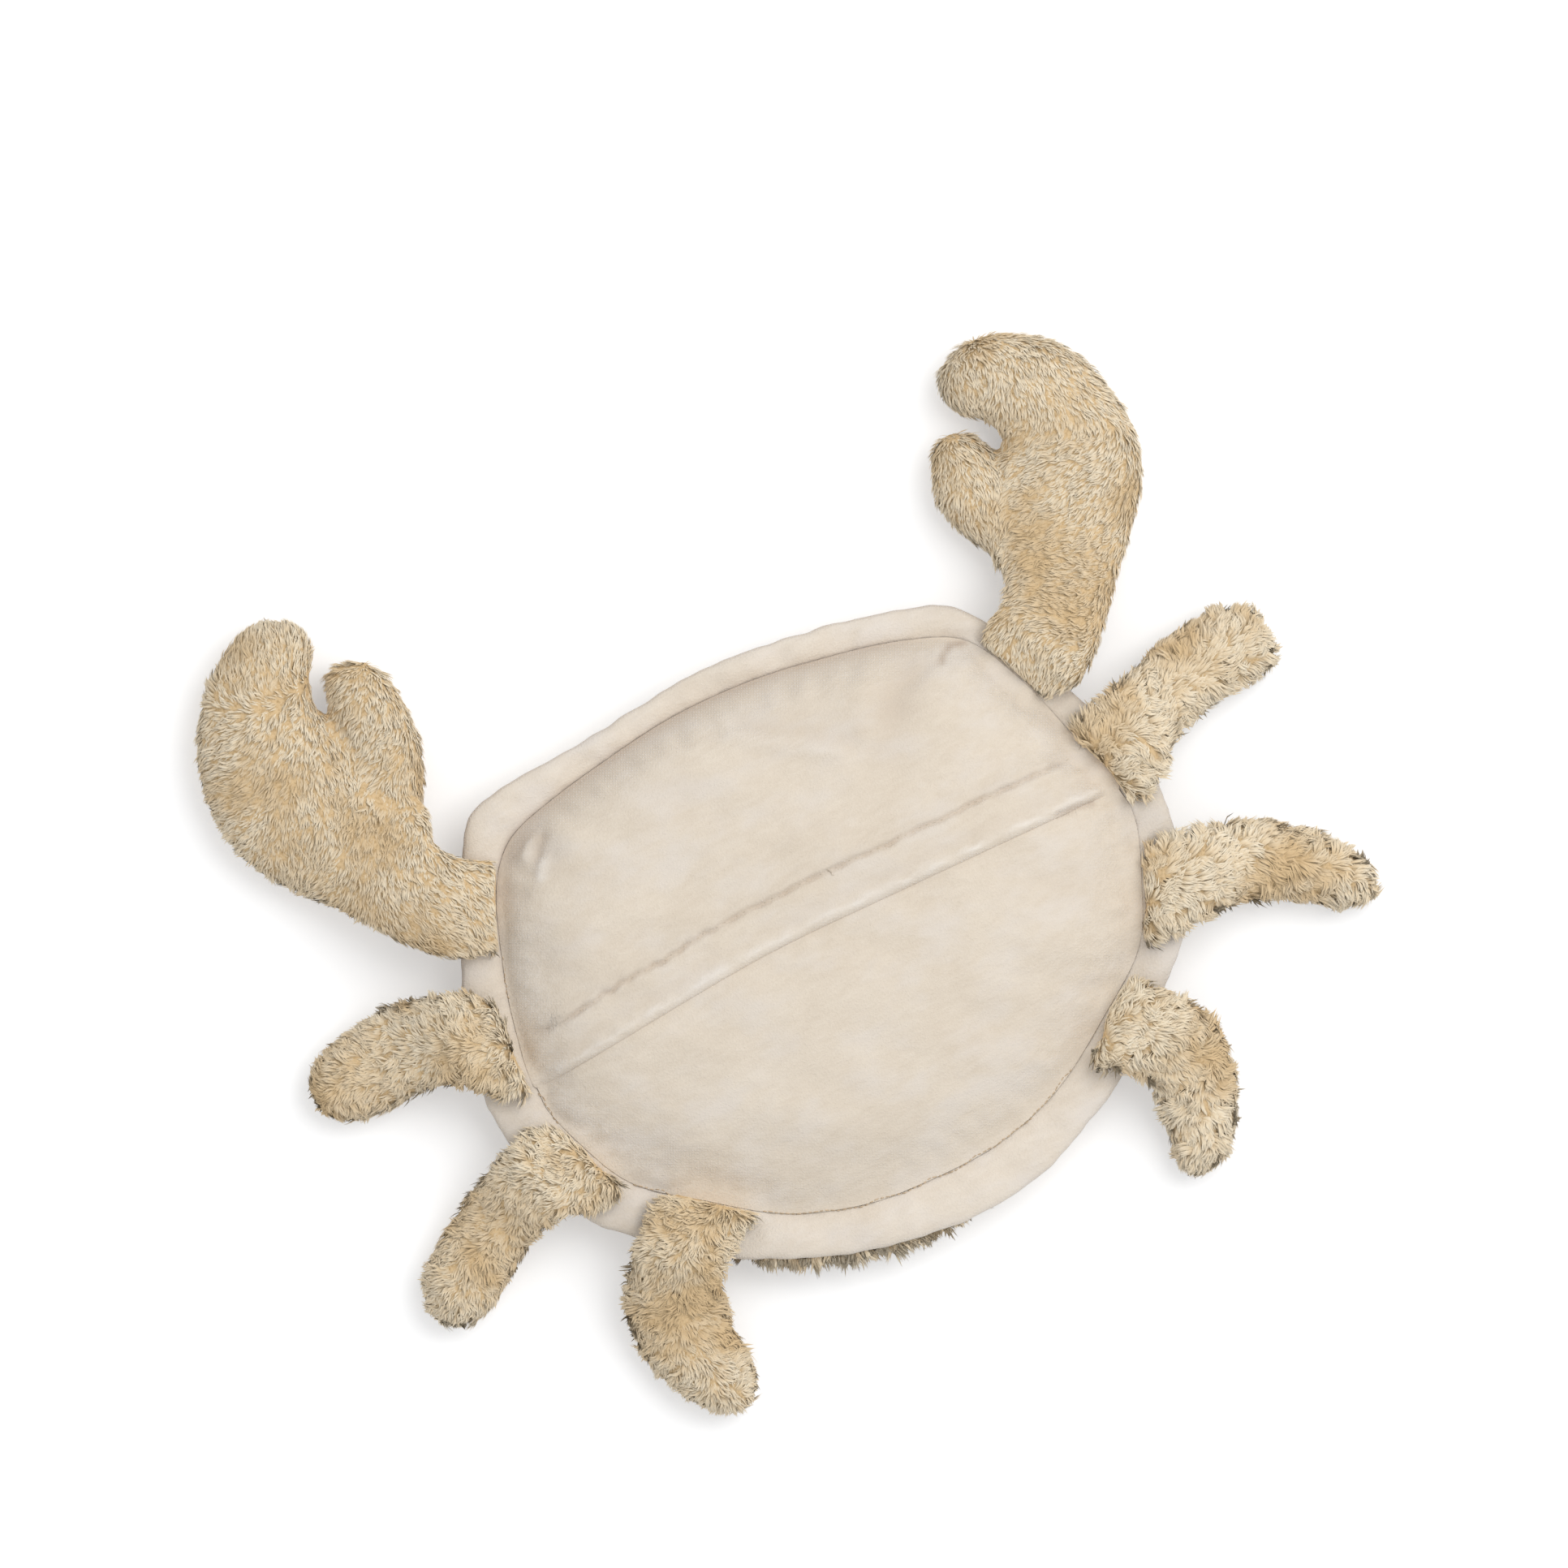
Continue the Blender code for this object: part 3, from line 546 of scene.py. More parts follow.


# Tints of the velour's colour: dull nap, bright nap, cooler pale nap, and a darker tint for painted shade
VELOUR_TINTS = ((0.885, 0.86, 0.82), (1.04, 1.045, 1.04), (1.0, 1.03, 1.09), (0.66, 0.6, 0.56))
# Velour that faces this way is painted darker: painted shade on the walls that face the front
PAINTED_SHADE_WAY = (-0.42, 0.88)
# The way that the knitted rows run, and the colour of their bright loops
KNIT_WAY = (0.94, 0.34)
KNIT_COLOUR = (0.93, 0.9, 0.87)


def velour_finish(name, settings, colour):
    """Short velour: streaked nap, with painted shade where it faces the front and where its map gives it,
    painted highlight from the same map, and bright knit on the walls.
    """
    finish = Finish(name, 0.9, 0.35, (1.0, 0.97, 0.94))
    place = finish.place()
    painted_shade, painted_highlight = finish.map("painted_light")
    nap = finish.noise(finish.scaled(place, 0.35, 1.0, 1.0), 420, 3.0, 0.65)
    blotch = finish.noise(finish.scaled(place, 0.6, 1.0, 1.0), 120, 3.0, 0.6)
    drift = finish.noise(place, 34, 2.0)
    cool = finish.noise(finish.scaled(place, 0.8, 1.3, 1.0), 52, 3.0, 0.6)
    fuzz = finish.noise(place, 1300, 2.0, 0.7)
    shade = (nap - 0.5) * 0.9 + (blotch - 0.5) * 0.6 + (drift - 0.5) * 0.8 + (fuzz - 0.5) * 0.6
    dull, bright, pale, dark = (tinted(colour, tint) for tint in VELOUR_TINTS)
    cream = finish.mix((shade + 0.55).held(), dull, bright)
    cream = finish.mix(cool.rise(0.42, 0.72) * 0.7, cream, pale)
    x, y, _ = finish.parts(place)
    nx, ny, nz = finish.facing()
    # Painted shade on velour that faces the front, and from the painted shade map, in the darker tint
    away = (nx * PAINTED_SHADE_WAY[0] + ny * PAINTED_SHADE_WAY[1]).rise(0.45, 0.95)
    cream = finish.mix((painted_shade + away * 0.16 + (nap - 0.5) * painted_shade * 0.8).held(), cream, dark)
    turn = math.tau / settings.knit_pitch
    rows = ((x * KNIT_WAY[0] + y * KNIT_WAY[1]) * turn).sine()
    columns = ((y * KNIT_WAY[0] - x * KNIT_WAY[1]) * turn).sine()
    dots = rows * columns
    wall = (1 - nz.rise(0.6, 0.93)) * fuzz.rise(0.3, 0.6)
    knit = dots.rise(0.1, 0.8) * wall
    # Bright knit on the walls, and painted highlight from its map
    knit_and_painted_highlight = (knit * 0.4 + painted_highlight * (0.6 + (nap - 0.5) * 1.6)).held()
    finish.set("Base Color", finish.mix(knit_and_painted_highlight, cream, KNIT_COLOUR))
    height = nap * 0.8 + blotch * 0.9 + fuzz * 0.8 + knit * 0.3
    finish.set("Normal", finish.bump(height, 0.4, 0.85))
    return finish.material


def thread_finish(name, colour, pitch_mm=0.5):
    """Twisted thread: fine slanted ridges."""
    finish = Finish(name, 0.75)
    twist = finish.ridges(finish.place(), pitch_mm, "DIAGONAL", 1.0)
    finish.set("Base Color", finish.mix(twist, shaded(colour, 0.7), colour))
    finish.set("Normal", finish.bump(twist, 0.1))
    return finish.material


def cotton_finish(name, colour, thread_mm):
    """Plain woven cotton."""
    finish = Finish(name, 0.9)
    place = finish.place()
    weave = finish.ridges(place, thread_mm, "X") * finish.ridges(place, thread_mm, "Y")
    light = (weave * 0.6 + finish.noise(place, 90) * 0.4).held()
    finish.set("Base Color", finish.mix(light, shaded(colour, 0.8), colour))
    finish.set("Normal", finish.bump(weave, 0.15))
    return finish.material


def wool_finish(name, colour):
    """Loose fleece wool."""
    finish = Finish(name, 0.95)
    curls = finish.noise(finish.place(), 220, 5.0, distortion=1.5)
    finish.set("Base Color", finish.mix(curls, shaded(colour, 0.75), colour))
    finish.set("Normal", finish.bump(curls, 1.0))
    return finish.material


# Plush


# A lock's cross-sections from the root up: share of its length, of its width and of its height
LOCK_SECTIONS = ((0.0, 0.85, 0.6), (0.6, 1.0, 1.0))
# The height of a lock's ridge, as a share of its width
LOCK_RIDGE = 0.26
# The lowest that a lock or a backing may hang over the floor
FLOOR_GAP = 0.15
# How far the locks' shading normals are raised, so that edge locks aren't lit from below
NORMAL_RAISE = 0.35


def lock_faces():
    """Triangles of one lock and, for each corner, its place on the lock's own map: three ridges, a tip."""
    rings = len(LOCK_SECTIONS)
    tip = 3 * rings
    top_u, under_u = (0.02, 0.33, 0.64), {0: 0.98, 2: 0.7}
    faces, places = [], []

    def at(index, under):
        if index == tip:
            return (0.84 if under else 0.33, 0.98)
        ring, side = divmod(index, 3)
        u = under_u[side] if under else top_u[side]
        return (u, 0.1 + 0.88 * LOCK_SECTIONS[ring][0])

    def add(corners, under=False):
        faces.append(corners)
        places.append([at(corner, under) for corner in corners])

    for ring in range(rings - 1):
        left, ridge, right = 3 * ring, 3 * ring + 1, 3 * ring + 2
        for low, high, under in ((left, ridge, False), (ridge, right, False), (right, left, True)):
            add((low, high + 3, low + 3), under)
            add((low, high, high + 3), under)
    left, ridge, right = 3 * rings - 3, 3 * rings - 2, 3 * rings - 1
    add((left, ridge, tip))
    add((ridge, right, tip))
    add((right, left, tip), True)
    faces.append((0, 2, 1))
    places.append([(0.02, 0.02), (0.64, 0.02), (0.33, 0.08)])
    return np.array(faces), np.array(places)


def pile_mesh(name, roots, tips, normals, bends, widths, shades, clumps, calm):
    """All locks of a piece in one mesh, each a closed curved wedge from its root to its tip."""
    count = len(roots)
    middles = roots + (tips - roots) * 0.5 + bends
    rings = []
    for share, _, _ in LOCK_SECTIONS:
        rings.append((1 - share) ** 2 * roots + 2 * share * (1 - share) * middles + share ** 2 * tips)
    verts = np.empty((count, 3 * len(rings) + 1, 3))
    for index, centre in enumerate(rings):
        share, wide, high = LOCK_SECTIONS[index]
        along = unit((1 - share) * (middles - roots) + share * (tips - middles))
        side = unit(np.cross(along, normals))
        up = np.cross(side, along)
        half = side * (widths * wide / 2)[:, None]
        verts[:, 3 * index] = centre - half
        verts[:, 3 * index + 1] = centre + up * (widths * LOCK_RIDGE * high)[:, None]
        verts[:, 3 * index + 2] = centre + half
    verts[:, -1] = tips
    verts[..., 2] = np.maximum(verts[..., 2], FLOOR_GAP)
    faces, own_places = lock_faces()
    per_lock = verts.shape[1]
    all_faces = (faces[None] + (np.arange(count) * per_lock)[:, None, None]).reshape(-1, 3)
    mesh = build_mesh(name, verts.reshape(-1, 3), all_faces)
    raised = normals.copy()
    raised[:, 2] = np.maximum(raised[:, 2], 0) + NORMAL_RAISE
    soft = unit(normals_of(mesh) * (1 - calm) + np.repeat(unit(raised), per_lock, axis=0) * calm)
    mesh.normals_split_custom_set_from_vertices(soft.tolist())
    across = np.array([0.0, 0.5, 1.0] * len(rings) + [0.5])
    along = np.array([section[0] for section in LOCK_SECTIONS for _ in range(3)] + [1.0])
    lock = np.stack((across, along), -1)[faces.ravel()]
    corner_map(mesh, "lock", np.tile(lock, (count, 1)))
    traits = np.stack((shades, clumps), -1)
    corner_map(mesh, "traits", np.repeat(traits, faces.size, axis=0))
    columns = math.ceil(math.sqrt(count))
    row, column = np.divmod(np.arange(count), columns)
    cells = np.broadcast_to(own_places.reshape(1, -1, 2), (count, faces.size, 2)).copy()
    cells[row % 2 == 1, :, 1] = 1 - cells[row % 2 == 1, :, 1]
    cells += np.stack((column, row), -1)[:, None]
    corner_map(mesh, "OFBake", cells.reshape(-1, 2) / columns)
    return mesh


def scatter(mesh, count, seed, weigh):
    """Points spread over a mesh, with their normals; weigh gives how much pile a triangle gets."""
    places = coordinates(mesh)
    mesh.calc_loop_triangles()
    triangles = np.empty(len(mesh.loop_triangles) * 3, np.int32)
    mesh.loop_triangles.foreach_get("vertices", triangles)
    triangles = triangles.reshape(-1, 3)
    a, b, c = (places[triangles[:, k]] for k in range(3))
    cross = np.cross(b - a, c - a)
    weights = np.linalg.norm(cross, axis=1) * weigh((a + b + c) / 3, unit(cross))
    total = np.cumsum(weights)
    rng = np.random.default_rng(seed)
    picks = (np.arange(count) + rng.random(count)) / count * total[-1]
    chosen = np.searchsorted(total, picks).clip(0, len(total) - 1)
    s, t = rng.random((2, count))
    flip = s + t > 1
    s[flip], t[flip] = 1 - s[flip], 1 - t[flip]
    inner = 1 - s - t
    points = inner[:, None] * a[chosen] + s[:, None] * b[chosen] + t[:, None] * c[chosen]
    corner = normals_of(mesh)[triangles[chosen]]
    ways = unit(inner[:, None] * corner[:, 0] + s[:, None] * corner[:, 1] + t[:, None] * corner[:, 2])
    return points, ways


def gathered(points, spacing, seed):
    """The clump that each point belongs to, for clumps about a spacing apart."""
    rng = np.random.default_rng(seed)
    order = rng.permutation(len(points))
    picked = []
    taken = set()
    for index in order:
        cell = tuple(np.floor(points[index] / spacing).astype(int))
        if cell not in taken:
            taken.add(cell)
            picked.append(index)
    tree = KDTree(len(picked))
    for number, index in enumerate(picked):
        tree.insert(points[index], number)
    tree.balance()
    return np.array([tree.find(point)[1] for point in points]), np.array(picked)


# How far outside the seam a limb's pile ends
SEWN_MARGIN = 0.5


def off_the_seam(places):
    """Places, moved outward where they lie over the body seam, so that a limb's pile ends in a line."""
    out = places[:, :2] - CENTRE
    over = np.maximum(SEWN_MARGIN - SEAM.outside(places[:, 0], places[:, 1]), 0)
    moved = places.copy()
    moved[:, :2] += unit(out) * over[:, None]
    return moved


# How unevenly pile grows: the spread of a lock's lift in degrees and of a clump's length, and the shares
# that the lengths and the widths of locks lie between
LIFT_STRAY = 4
LOWEST_LIFT = math.radians(5)
HIGHEST_LIFT = math.radians(80)
CLUMP_LENGTH_STRAY = 0.16
LOCK_LENGTHS = (0.8, 1.15)
LOCK_WIDTHS = (0.75, 1.3)
# How deep a lock's root stands in the backing
ROOT_DEPTH = 0.5


def grow_pile(name, backing, material, count, lay, weigh, seed, look):
    """Pile on a backing. lay gives the way that it is brushed, and look its sizes and liveliness."""
    points, normals = scatter(backing, count, seed, weigh)
    member, heads = gathered(points, look["clump"], seed + 1)
    rng = np.random.default_rng(seed + 2)
    clumps = len(heads)
    turn = rng.normal(0, look["clump_turn"], clumps)[member]
    turn = np.radians(turn + rng.normal(0, look["turn"], count))
    turn += np.radians(look["swirl"]) * wobble(points, look["swirl_length"], seed + 3)
    brushed = lay(points, normals)
    flat = unit(brushed - normals * (brushed * normals).sum(1, keepdims=True) * look["hug"])
    side = unit(np.cross(normals, flat))
    flat = flat * np.cos(turn)[:, None] + side * np.sin(turn)[:, None]
    side = np.cross(normals, flat)
    lift = look["lift"] + rng.normal(0, look["lift_spread"], clumps)[member]
    lift = np.radians(lift + rng.normal(0, LIFT_STRAY, count))
    lift = np.clip(lift, LOWEST_LIFT, HIGHEST_LIFT)
    reach = look["reach"](points) if "reach" in look else 1.0
    length = look["length"] * reach * (1 + rng.normal(0, CLUMP_LENGTH_STRAY, clumps)[member])
    length = length * rng.uniform(*LOCK_LENGTHS, count)
    way = flat * np.cos(lift)[:, None] + normals * np.sin(lift)[:, None]
    roots = points - normals * ROOT_DEPTH
    tips = roots + way * length[:, None]
    meeting = tips[heads][member]
    tips += (meeting - tips) * (look["gather"] * rng.uniform(0.6, 1.0, count))[:, None]
    if look.get("sewn"):
        roots, tips = off_the_seam(roots), off_the_seam(tips)
    curl = rng.normal(0, look["curl"], clumps)[member] + rng.normal(0, look["curl"] * 0.3, count)
    bends = normals * (length * look["arch"])[:, None] + side * (length * curl)[:, None]
    widths = look["width"] * rng.uniform(*LOCK_WIDTHS, count)
    shades = np.clip(0.5 + rng.normal(0, 0.2, count) + rng.normal(0, 0.12, clumps)[member], 0, 1)
    clump_values = rng.random(clumps)[member]
    mesh = pile_mesh(name, roots, tips, normals, bends, widths, shades, clump_values, look["calm"])
    new_piece(name, mesh, material)


# The grid of a backing's even mesh, and how far its filling swells it
BACKING_VOXEL = 2.4
BACKING_SWELL = 1.2
# How far a backing is drawn in at the seam, over how long a stretch, and what is pinned there
BASE_INSET = 0.7
BASE_LENGTH = 16.0
SEAM_HOLD = 3.0
# The cloth moves a point by at most this many swells
SWELL_LIMIT = 1.5
# Points count as a limb's side where they face up or down by less than this, well off the seam
SIDE_SLOPE = 0.5
SIDE_FREEDOM = 0.9
# The cloth, in its modifier's own words, and how many frames the air pressure blows it up for
CLOTH_SETTINGS = {
    "quality": 4, "mass": 0.2, "tension_stiffness": 25, "compression_stiffness": 25,
    "shear_stiffness": 12, "bending_stiffness": 0.4, "use_pressure": True, "uniform_pressure_force": 3.0,
}
BLOW_FRAMES = 12


def stuffed_backing(node_name, inset):
    """A limb's backing: the CAD form in an even mesh, drawn in, then blown up as cloth round its filling.

    After the cloth the limb is set out again, so that its sides keep their measured width.
    """
    skin = bpy.data.objects.new(node_name + "_backing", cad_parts[node_name].data.copy())
    bpy.context.scene.collection.objects.link(skin)
    remesh = skin.modifiers.new("even_mesh", "REMESH")
    remesh.mode = "VOXEL"
    remesh.voxel_size = BACKING_VOXEL * MM
    mesh = evaluated_mesh(skin)
    places, ways = coordinates(mesh), normals_of(mesh)
    free = smoothstep(0, BASE_LENGTH, SEAM.outside(places[:, 0], places[:, 1]))[:, None]
    swell = BACKING_SWELL * free
    start = places - ways * (BASE_INSET + (inset - BASE_INSET) * free + swell)
    move_points(mesh, start)
    blow_up(skin)
    mesh = skin.data
    moved = coordinates(mesh) - start
    reach = np.linalg.norm(moved, axis=1, keepdims=True)
    moved = moved * np.minimum(1, swell * SWELL_LIMIT / np.maximum(reach, 1e-6))
    sides = (np.abs(ways[:, 2]) < SIDE_SLOPE) & (free[:, 0] > SIDE_FREEDOM)
    short = BACKING_SWELL - (moved * ways).sum(1)[sides].mean()
    blown = start + moved + ways * (short * free)
    blown[:, 2] = np.maximum(blown[:, 2], FLOOR_GAP)
    move_points(mesh, blown)
    for polygon in mesh.polygons:
        polygon.use_smooth = True
    return skin


def blow_up(skin):
    """Runs a short cloth simulation with air pressure; the sewn end stays where it is."""
    mesh = skin.data
    places = coordinates(mesh)
    sewn = SEAM.outside(places[:, 0], places[:, 1]) < SEAM_HOLD
    pins = skin.vertex_groups.new(name="sewn_end")
    pins.add([int(index) for index in np.flatnonzero(sewn)], 1.0, "REPLACE")
    cloth = skin.modifiers.new("stuffing", "CLOTH")
    for name, value in CLOTH_SETTINGS.items():
        setattr(cloth.settings, name, value)
    cloth.settings.vertex_group_mass = pins.name
    cloth.settings.effector_weights.gravity = 0
    cloth.point_cache.frame_end = BLOW_FRAMES
    scene = bpy.context.scene
    for step in range(1, BLOW_FRAMES + 1):
        scene.frame_set(step)
    evaluated_mesh(skin)
    skin.vertex_groups.clear()
    scene.frame_set(1)


# Squared distance within which all brush strokes count alike
STROKE_BLUR = 30
# The width over which pile turns from a limb's middle line to its side
SPLAY_WIDTH = 14
# How far brushed pile leans down
LAY_DROP = -0.1


def brushed_by_strokes(strokes):
    """The way that pile lies between brush strokes, nearer strokes counting more."""
    table = np.array(strokes, float)
    ways = np.stack((np.cos(np.radians(table[:, 2])), np.sin(np.radians(table[:, 2]))), -1)

    def lay(points, normals):
        gaps = ((points[:, None, :2] - table[None, :, :2]) ** 2).sum(-1)
        weights = 1 / (gaps + STROKE_BLUR) ** 2
        flat = unit(weights @ ways)
        return np.concatenate((flat, np.full((len(points), 1), LAY_DROP)), 1)

    return lay


def nearest_on_line(points, line):
    """The nearest place on a line of points, and the line's way there."""
    start, end = line[:-1], line[1:]
    along = end - start
    away = points[:, None] - start[None]
    t = np.clip((away * along).sum(-1) / (along ** 2).sum(-1), 0, 1)
    places = start + along * t[..., None]
    gaps = np.linalg.norm(points[:, None] - places, axis=-1)
    best = gaps.argmin(1)
    rows = np.arange(len(points))
    return places[rows, best], unit(along)[best], gaps[rows, best]


def brushed_outward(line, outward=1.0, tipward=0.55):
    """Pile that splays off a limb's middle line and leans a little towards its tip."""
    table = np.array(line, float)

    def lay(points, normals):
        places, ways, _ = nearest_on_line(points[:, :2], table)
        flat = (points[:, :2] - places) / SPLAY_WIDTH * outward + ways * tipward
        return np.concatenate((unit(flat), np.full((len(points), 1), LAY_DROP)), 1)

    return lay


def pile_on_limb(centres, normals):
    """More pile on the sides, which are seen edge-on from above, and less underneath."""
    return np.where(normals[:, 2] < -0.25, 0.1, np.where(normals[:, 2] < 0.4, 1.3, 1.0))


# Settings


class CRAB_PG_plush(bpy.types.PropertyGroup):
    """Colours, sizes and numbers of the plush"""

    # The root colour is partly painted shade: it stands in for the warm shade deep in the pile
    root_colour: FloatVectorProperty(
        name="Root colour", description="Colour deep in the pile", subtype="COLOR", min=0, max=1,
        default=(0.5, 0.335, 0.165),
    )
    middle_colour: FloatVectorProperty(
        name="Middle colour", description="Colour along the locks", subtype="COLOR", min=0, max=1,
        default=(0.805, 0.64, 0.425),
    )
    tip_colour: FloatVectorProperty(
        name="Tip colour", description="Colour of the locks' ends", subtype="COLOR", min=0, max=1,
        default=(0.925, 0.82, 0.645),
    )
    tan_colour: FloatVectorProperty(
        name="Tan colour", description="Colour of the darker patches", subtype="COLOR", min=0, max=1,
        default=(0.72, 0.525, 0.3),
    )
    patch_scale: FloatProperty(name="Patch scale", description="Patches in a metre", default=42.0, min=1)
    claw_locks: IntProperty(name="Claw locks", description="Locks on each claw", default=15000, min=10)
    leg_locks: IntProperty(name="Leg locks", description="Locks on each leg", default=7500, min=10)
    shell_locks: IntProperty(name="Shell locks", description="Locks on the shell", default=3000, min=10)
    fringe_locks: IntProperty(name="Fringe locks", description="Locks in the fringe", default=4200, min=10)
    claw_length: FloatProperty(
        name="Claw pile", description="Length of the claws' locks", default=4.6 * MM, unit="LENGTH",
    )
    leg_length: FloatProperty(
        name="Leg pile", description="Length of the legs' locks", default=6.0 * MM, unit="LENGTH",
    )
    claw_width: FloatProperty(
        name="Claw lock width", description="Width of the claws' locks", default=0.58 * MM, unit="LENGTH",
    )
    leg_width: FloatProperty(
        name="Leg lock width", description="Width of the legs' locks", default=0.78 * MM, unit="LENGTH",
    )


class CRAB_PG_velour(bpy.types.PropertyGroup):
    """Colours and knit of the velour, and of its threads"""

    belly_colour: FloatVectorProperty(
        name="Belly colour", description="Colour of the belly", subtype="COLOR", min=0, max=1,
        default=(0.76, 0.67, 0.565),
    )
    rim_colour: FloatVectorProperty(
        name="Rim colour", description="Colour of the rim", subtype="COLOR", min=0, max=1,
        default=(0.785, 0.7, 0.605),
    )
    stitch_colour: FloatVectorProperty(
        name="Stitch colour", description="Colour of the seam's thread", subtype="COLOR", min=0, max=1,
        default=(0.66, 0.5, 0.33),
    )
    hem_colour: FloatVectorProperty(
        name="Hem thread colour", description="Colour of the closure's thread", subtype="COLOR", min=0,
        max=1, default=(0.7, 0.61, 0.49),
    )
    knit_pitch: FloatProperty(
        name="Knit pitch", description="Distance between knitted rows", default=1.25 * MM, unit="LENGTH",
    )


class CRAB_PG_stage(bpy.types.PropertyGroup):
    """The light on the crab and the width of the view"""

    key_power: FloatProperty(
        name="Key power", description="Power of the large lamp", default=32.0, unit="POWER",
    )
    key_size: FloatProperty(
        name="Key size", description="Side of the large lamp", default=1.8, unit="LENGTH",
    )
    sky: FloatProperty(name="Sky", description="Strength of the light from all round", default=0.71)
    view_width: FloatProperty(
        name="View width", description="Width of the view", default=0.5216, unit="LENGTH",
    )


# Pieces


# How pile grows. clump is the space between clumps, clump_turn, turn and swirl are degrees that it strays
# by, lift is the degrees that it stands up by, gather is how far locks meet their clump, curl and arch are
# shares of a lock's length, and calm is how far its shading follows the backing.
CLAW_LOOK = {
    "clump": 2.2, "clump_turn": 13, "turn": 8, "swirl": 18, "swirl_length": 34, "hug": 1.0, "lift": 11,
    "lift_spread": 5, "gather": 0.22, "curl": 0.14, "arch": 0.1, "calm": 0.75, "sewn": True,
}
FINE_LEG_LOOK = {
    "clump": 2.4, "clump_turn": 26, "turn": 9, "swirl": 34, "swirl_length": 24, "hug": 1.0, "lift": 12,
    "lift_spread": 6, "gather": 0.2, "curl": 0.22, "arch": 0.12, "calm": 0.7, "size": 0.85, "sewn": True,
}
CURLY_LEG_LOOK = {
    "clump": 3.2, "clump_turn": 30, "turn": 8, "swirl": 40, "swirl_length": 22, "hug": 1.0, "lift": 13,
    "lift_spread": 6, "gather": 0.26, "curl": 0.26, "arch": 0.14, "calm": 0.65, "size": 1.0, "sewn": True,
}

# Where the random draws of the piles start
CLAW_SEED = 100
LEG_SEED = 200
SHELL_SEED = 300
FRINGE_SEED = 310

# How far each limb's backing is drawn in from the CAD form, so that its pile ends on it
INSETS = {
    "claw_left": 0.6, "claw_right": 0.2, "leg_left_front": 1.6, "leg_left_middle": 0.7, "leg_left_rear": 1.9,
    "leg_right_front": 2.5, "leg_right_middle": 1.7, "leg_right_rear": 2.0,
}


def make_limb(name, finishes, count, lay, seed, look):
    """A limb: its stuffed backing, in place of the CAD's solid, and the pile on it."""
    pile, backing = finishes
    skin = stuffed_backing(name, INSETS[name])
    skin.data.materials.clear()
    skin.data.materials.append(backing)
    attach(skin, "root")
    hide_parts(name)
    grow_pile(name + "_pile", skin.data, pile, count, lay, pile_on_limb, seed, look)


class CRAB_OT_claws(bpy.types.Operator):
    """Makes both claws: a stuffed backing and fine plush brushed over it"""

    bl_idname = "crab.claws"
    bl_label = "Claws"

    def execute(self, context):
        plush = context.scene.crab_plush
        finishes = plush_finish(plush), backing_finish(plush)
        look = dict(CLAW_LOOK, length=plush.claw_length / MM, width=plush.claw_width / MM)
        for number, (name, strokes) in enumerate(CLAW_STROKES.items()):
            lay = brushed_by_strokes(strokes)
            make_limb(name, finishes, plush.claw_locks, lay, CLAW_SEED + number, look)
        return {"FINISHED"}


class CRAB_OT_legs(bpy.types.Operator):
    """Makes the six legs: a stuffed backing and lofty plush that splays off the middle line"""

    bl_idname = "crab.legs"
    bl_label = "Legs"

    def execute(self, context):
        plush = context.scene.crab_plush
        finishes = plush_finish(plush), backing_finish(plush)
        for number, (name, line) in enumerate(LEG_LINES.items()):
            look = dict(FINE_LEG_LOOK if "left" in name else CURLY_LEG_LOOK)
            look["length"] = plush.leg_length / MM * look["size"]
            look["width"] = plush.leg_width / MM * look["size"]
            lay = brushed_outward(line)
            make_limb(name, finishes, plush.leg_locks, lay, LEG_SEED + number, look)
        return {"FINISHED"}


# The shell's backing: how far it lies inside the pile, its thickness and its points round the rim
SHELL_SKIN_INSET = 1.6
SHELL_THICKNESS = 4.0
SHELL_AROUND = 160
# Its rings: shares of the rim outside, insets and heights over the brim, and shares of the seam inside
BOWL_SHARES = (0.04, 0.2, 0.35, 0.45, 0.53, 0.61, 0.69, 0.76, 0.83, 0.89, 0.94, 0.975)
BRIM_RINGS = ((2.8, 1.8), (2.4, 2.6), (2.8, SHELL_THICKNESS - 0.4))
INNER_SHARES = (0.912, 0.78, 0.62, 0.42, 0.2, 0.04)


def shell_height(share):
    """The shell's underside at a share of the rim outline: a flat patch, then a bowl."""
    climb = np.maximum(0.0, (share - REST_PATCH_SHARE) / (1 - REST_PATCH_SHARE))
    return SHELL_RISE * climb ** 2


def shell_mesh():
    """The shell's backing: the bowl's underside, its brim and its inner side, a little inside the pile."""
    angles = np.arange(SHELL_AROUND) * math.tau / SHELL_AROUND
    rings = []

    def add_ring(plan, height):
        rings.append(np.column_stack((plan, np.broadcast_to(height, len(plan)))))

    for share in BOWL_SHARES:
        add_ring(RIM.at(angles, share), shell_height(share) + SHELL_SKIN_INSET)
    for inset, height in BRIM_RINGS:
        add_ring(RIM.at(angles, 1, -inset), SHELL_RISE + height)
    add_ring(SEAM.at(angles, 0.95), SHELL_RISE + SHELL_THICKNESS - 0.1)
    for share in INNER_SHARES:
        plan = SEAM.at(angles, share)
        add_ring(plan, shell_height(RIM.share(plan[:, 0], plan[:, 1])) + SHELL_THICKNESS)
    count = len(angles)
    verts = np.concatenate(rings)
    faces = [tuple(face[::-1]) for face in grid_faces(len(rings), count, True)]
    last = (len(rings) - 1) * count
    made = bmesh.new()
    points = [made.verts.new(vert * MM) for vert in verts]
    for face in faces:
        made.faces.new([points[index] for index in face])
    made.faces.new(points[:count])
    made.faces.new(points[last:])
    bmesh.ops.recalc_face_normals(made, faces=made.faces)
    mesh = bpy.data.meshes.new("shell_backing")
    made.to_mesh(mesh)
    made.free()
    mesh.shade_smooth()
    return mesh


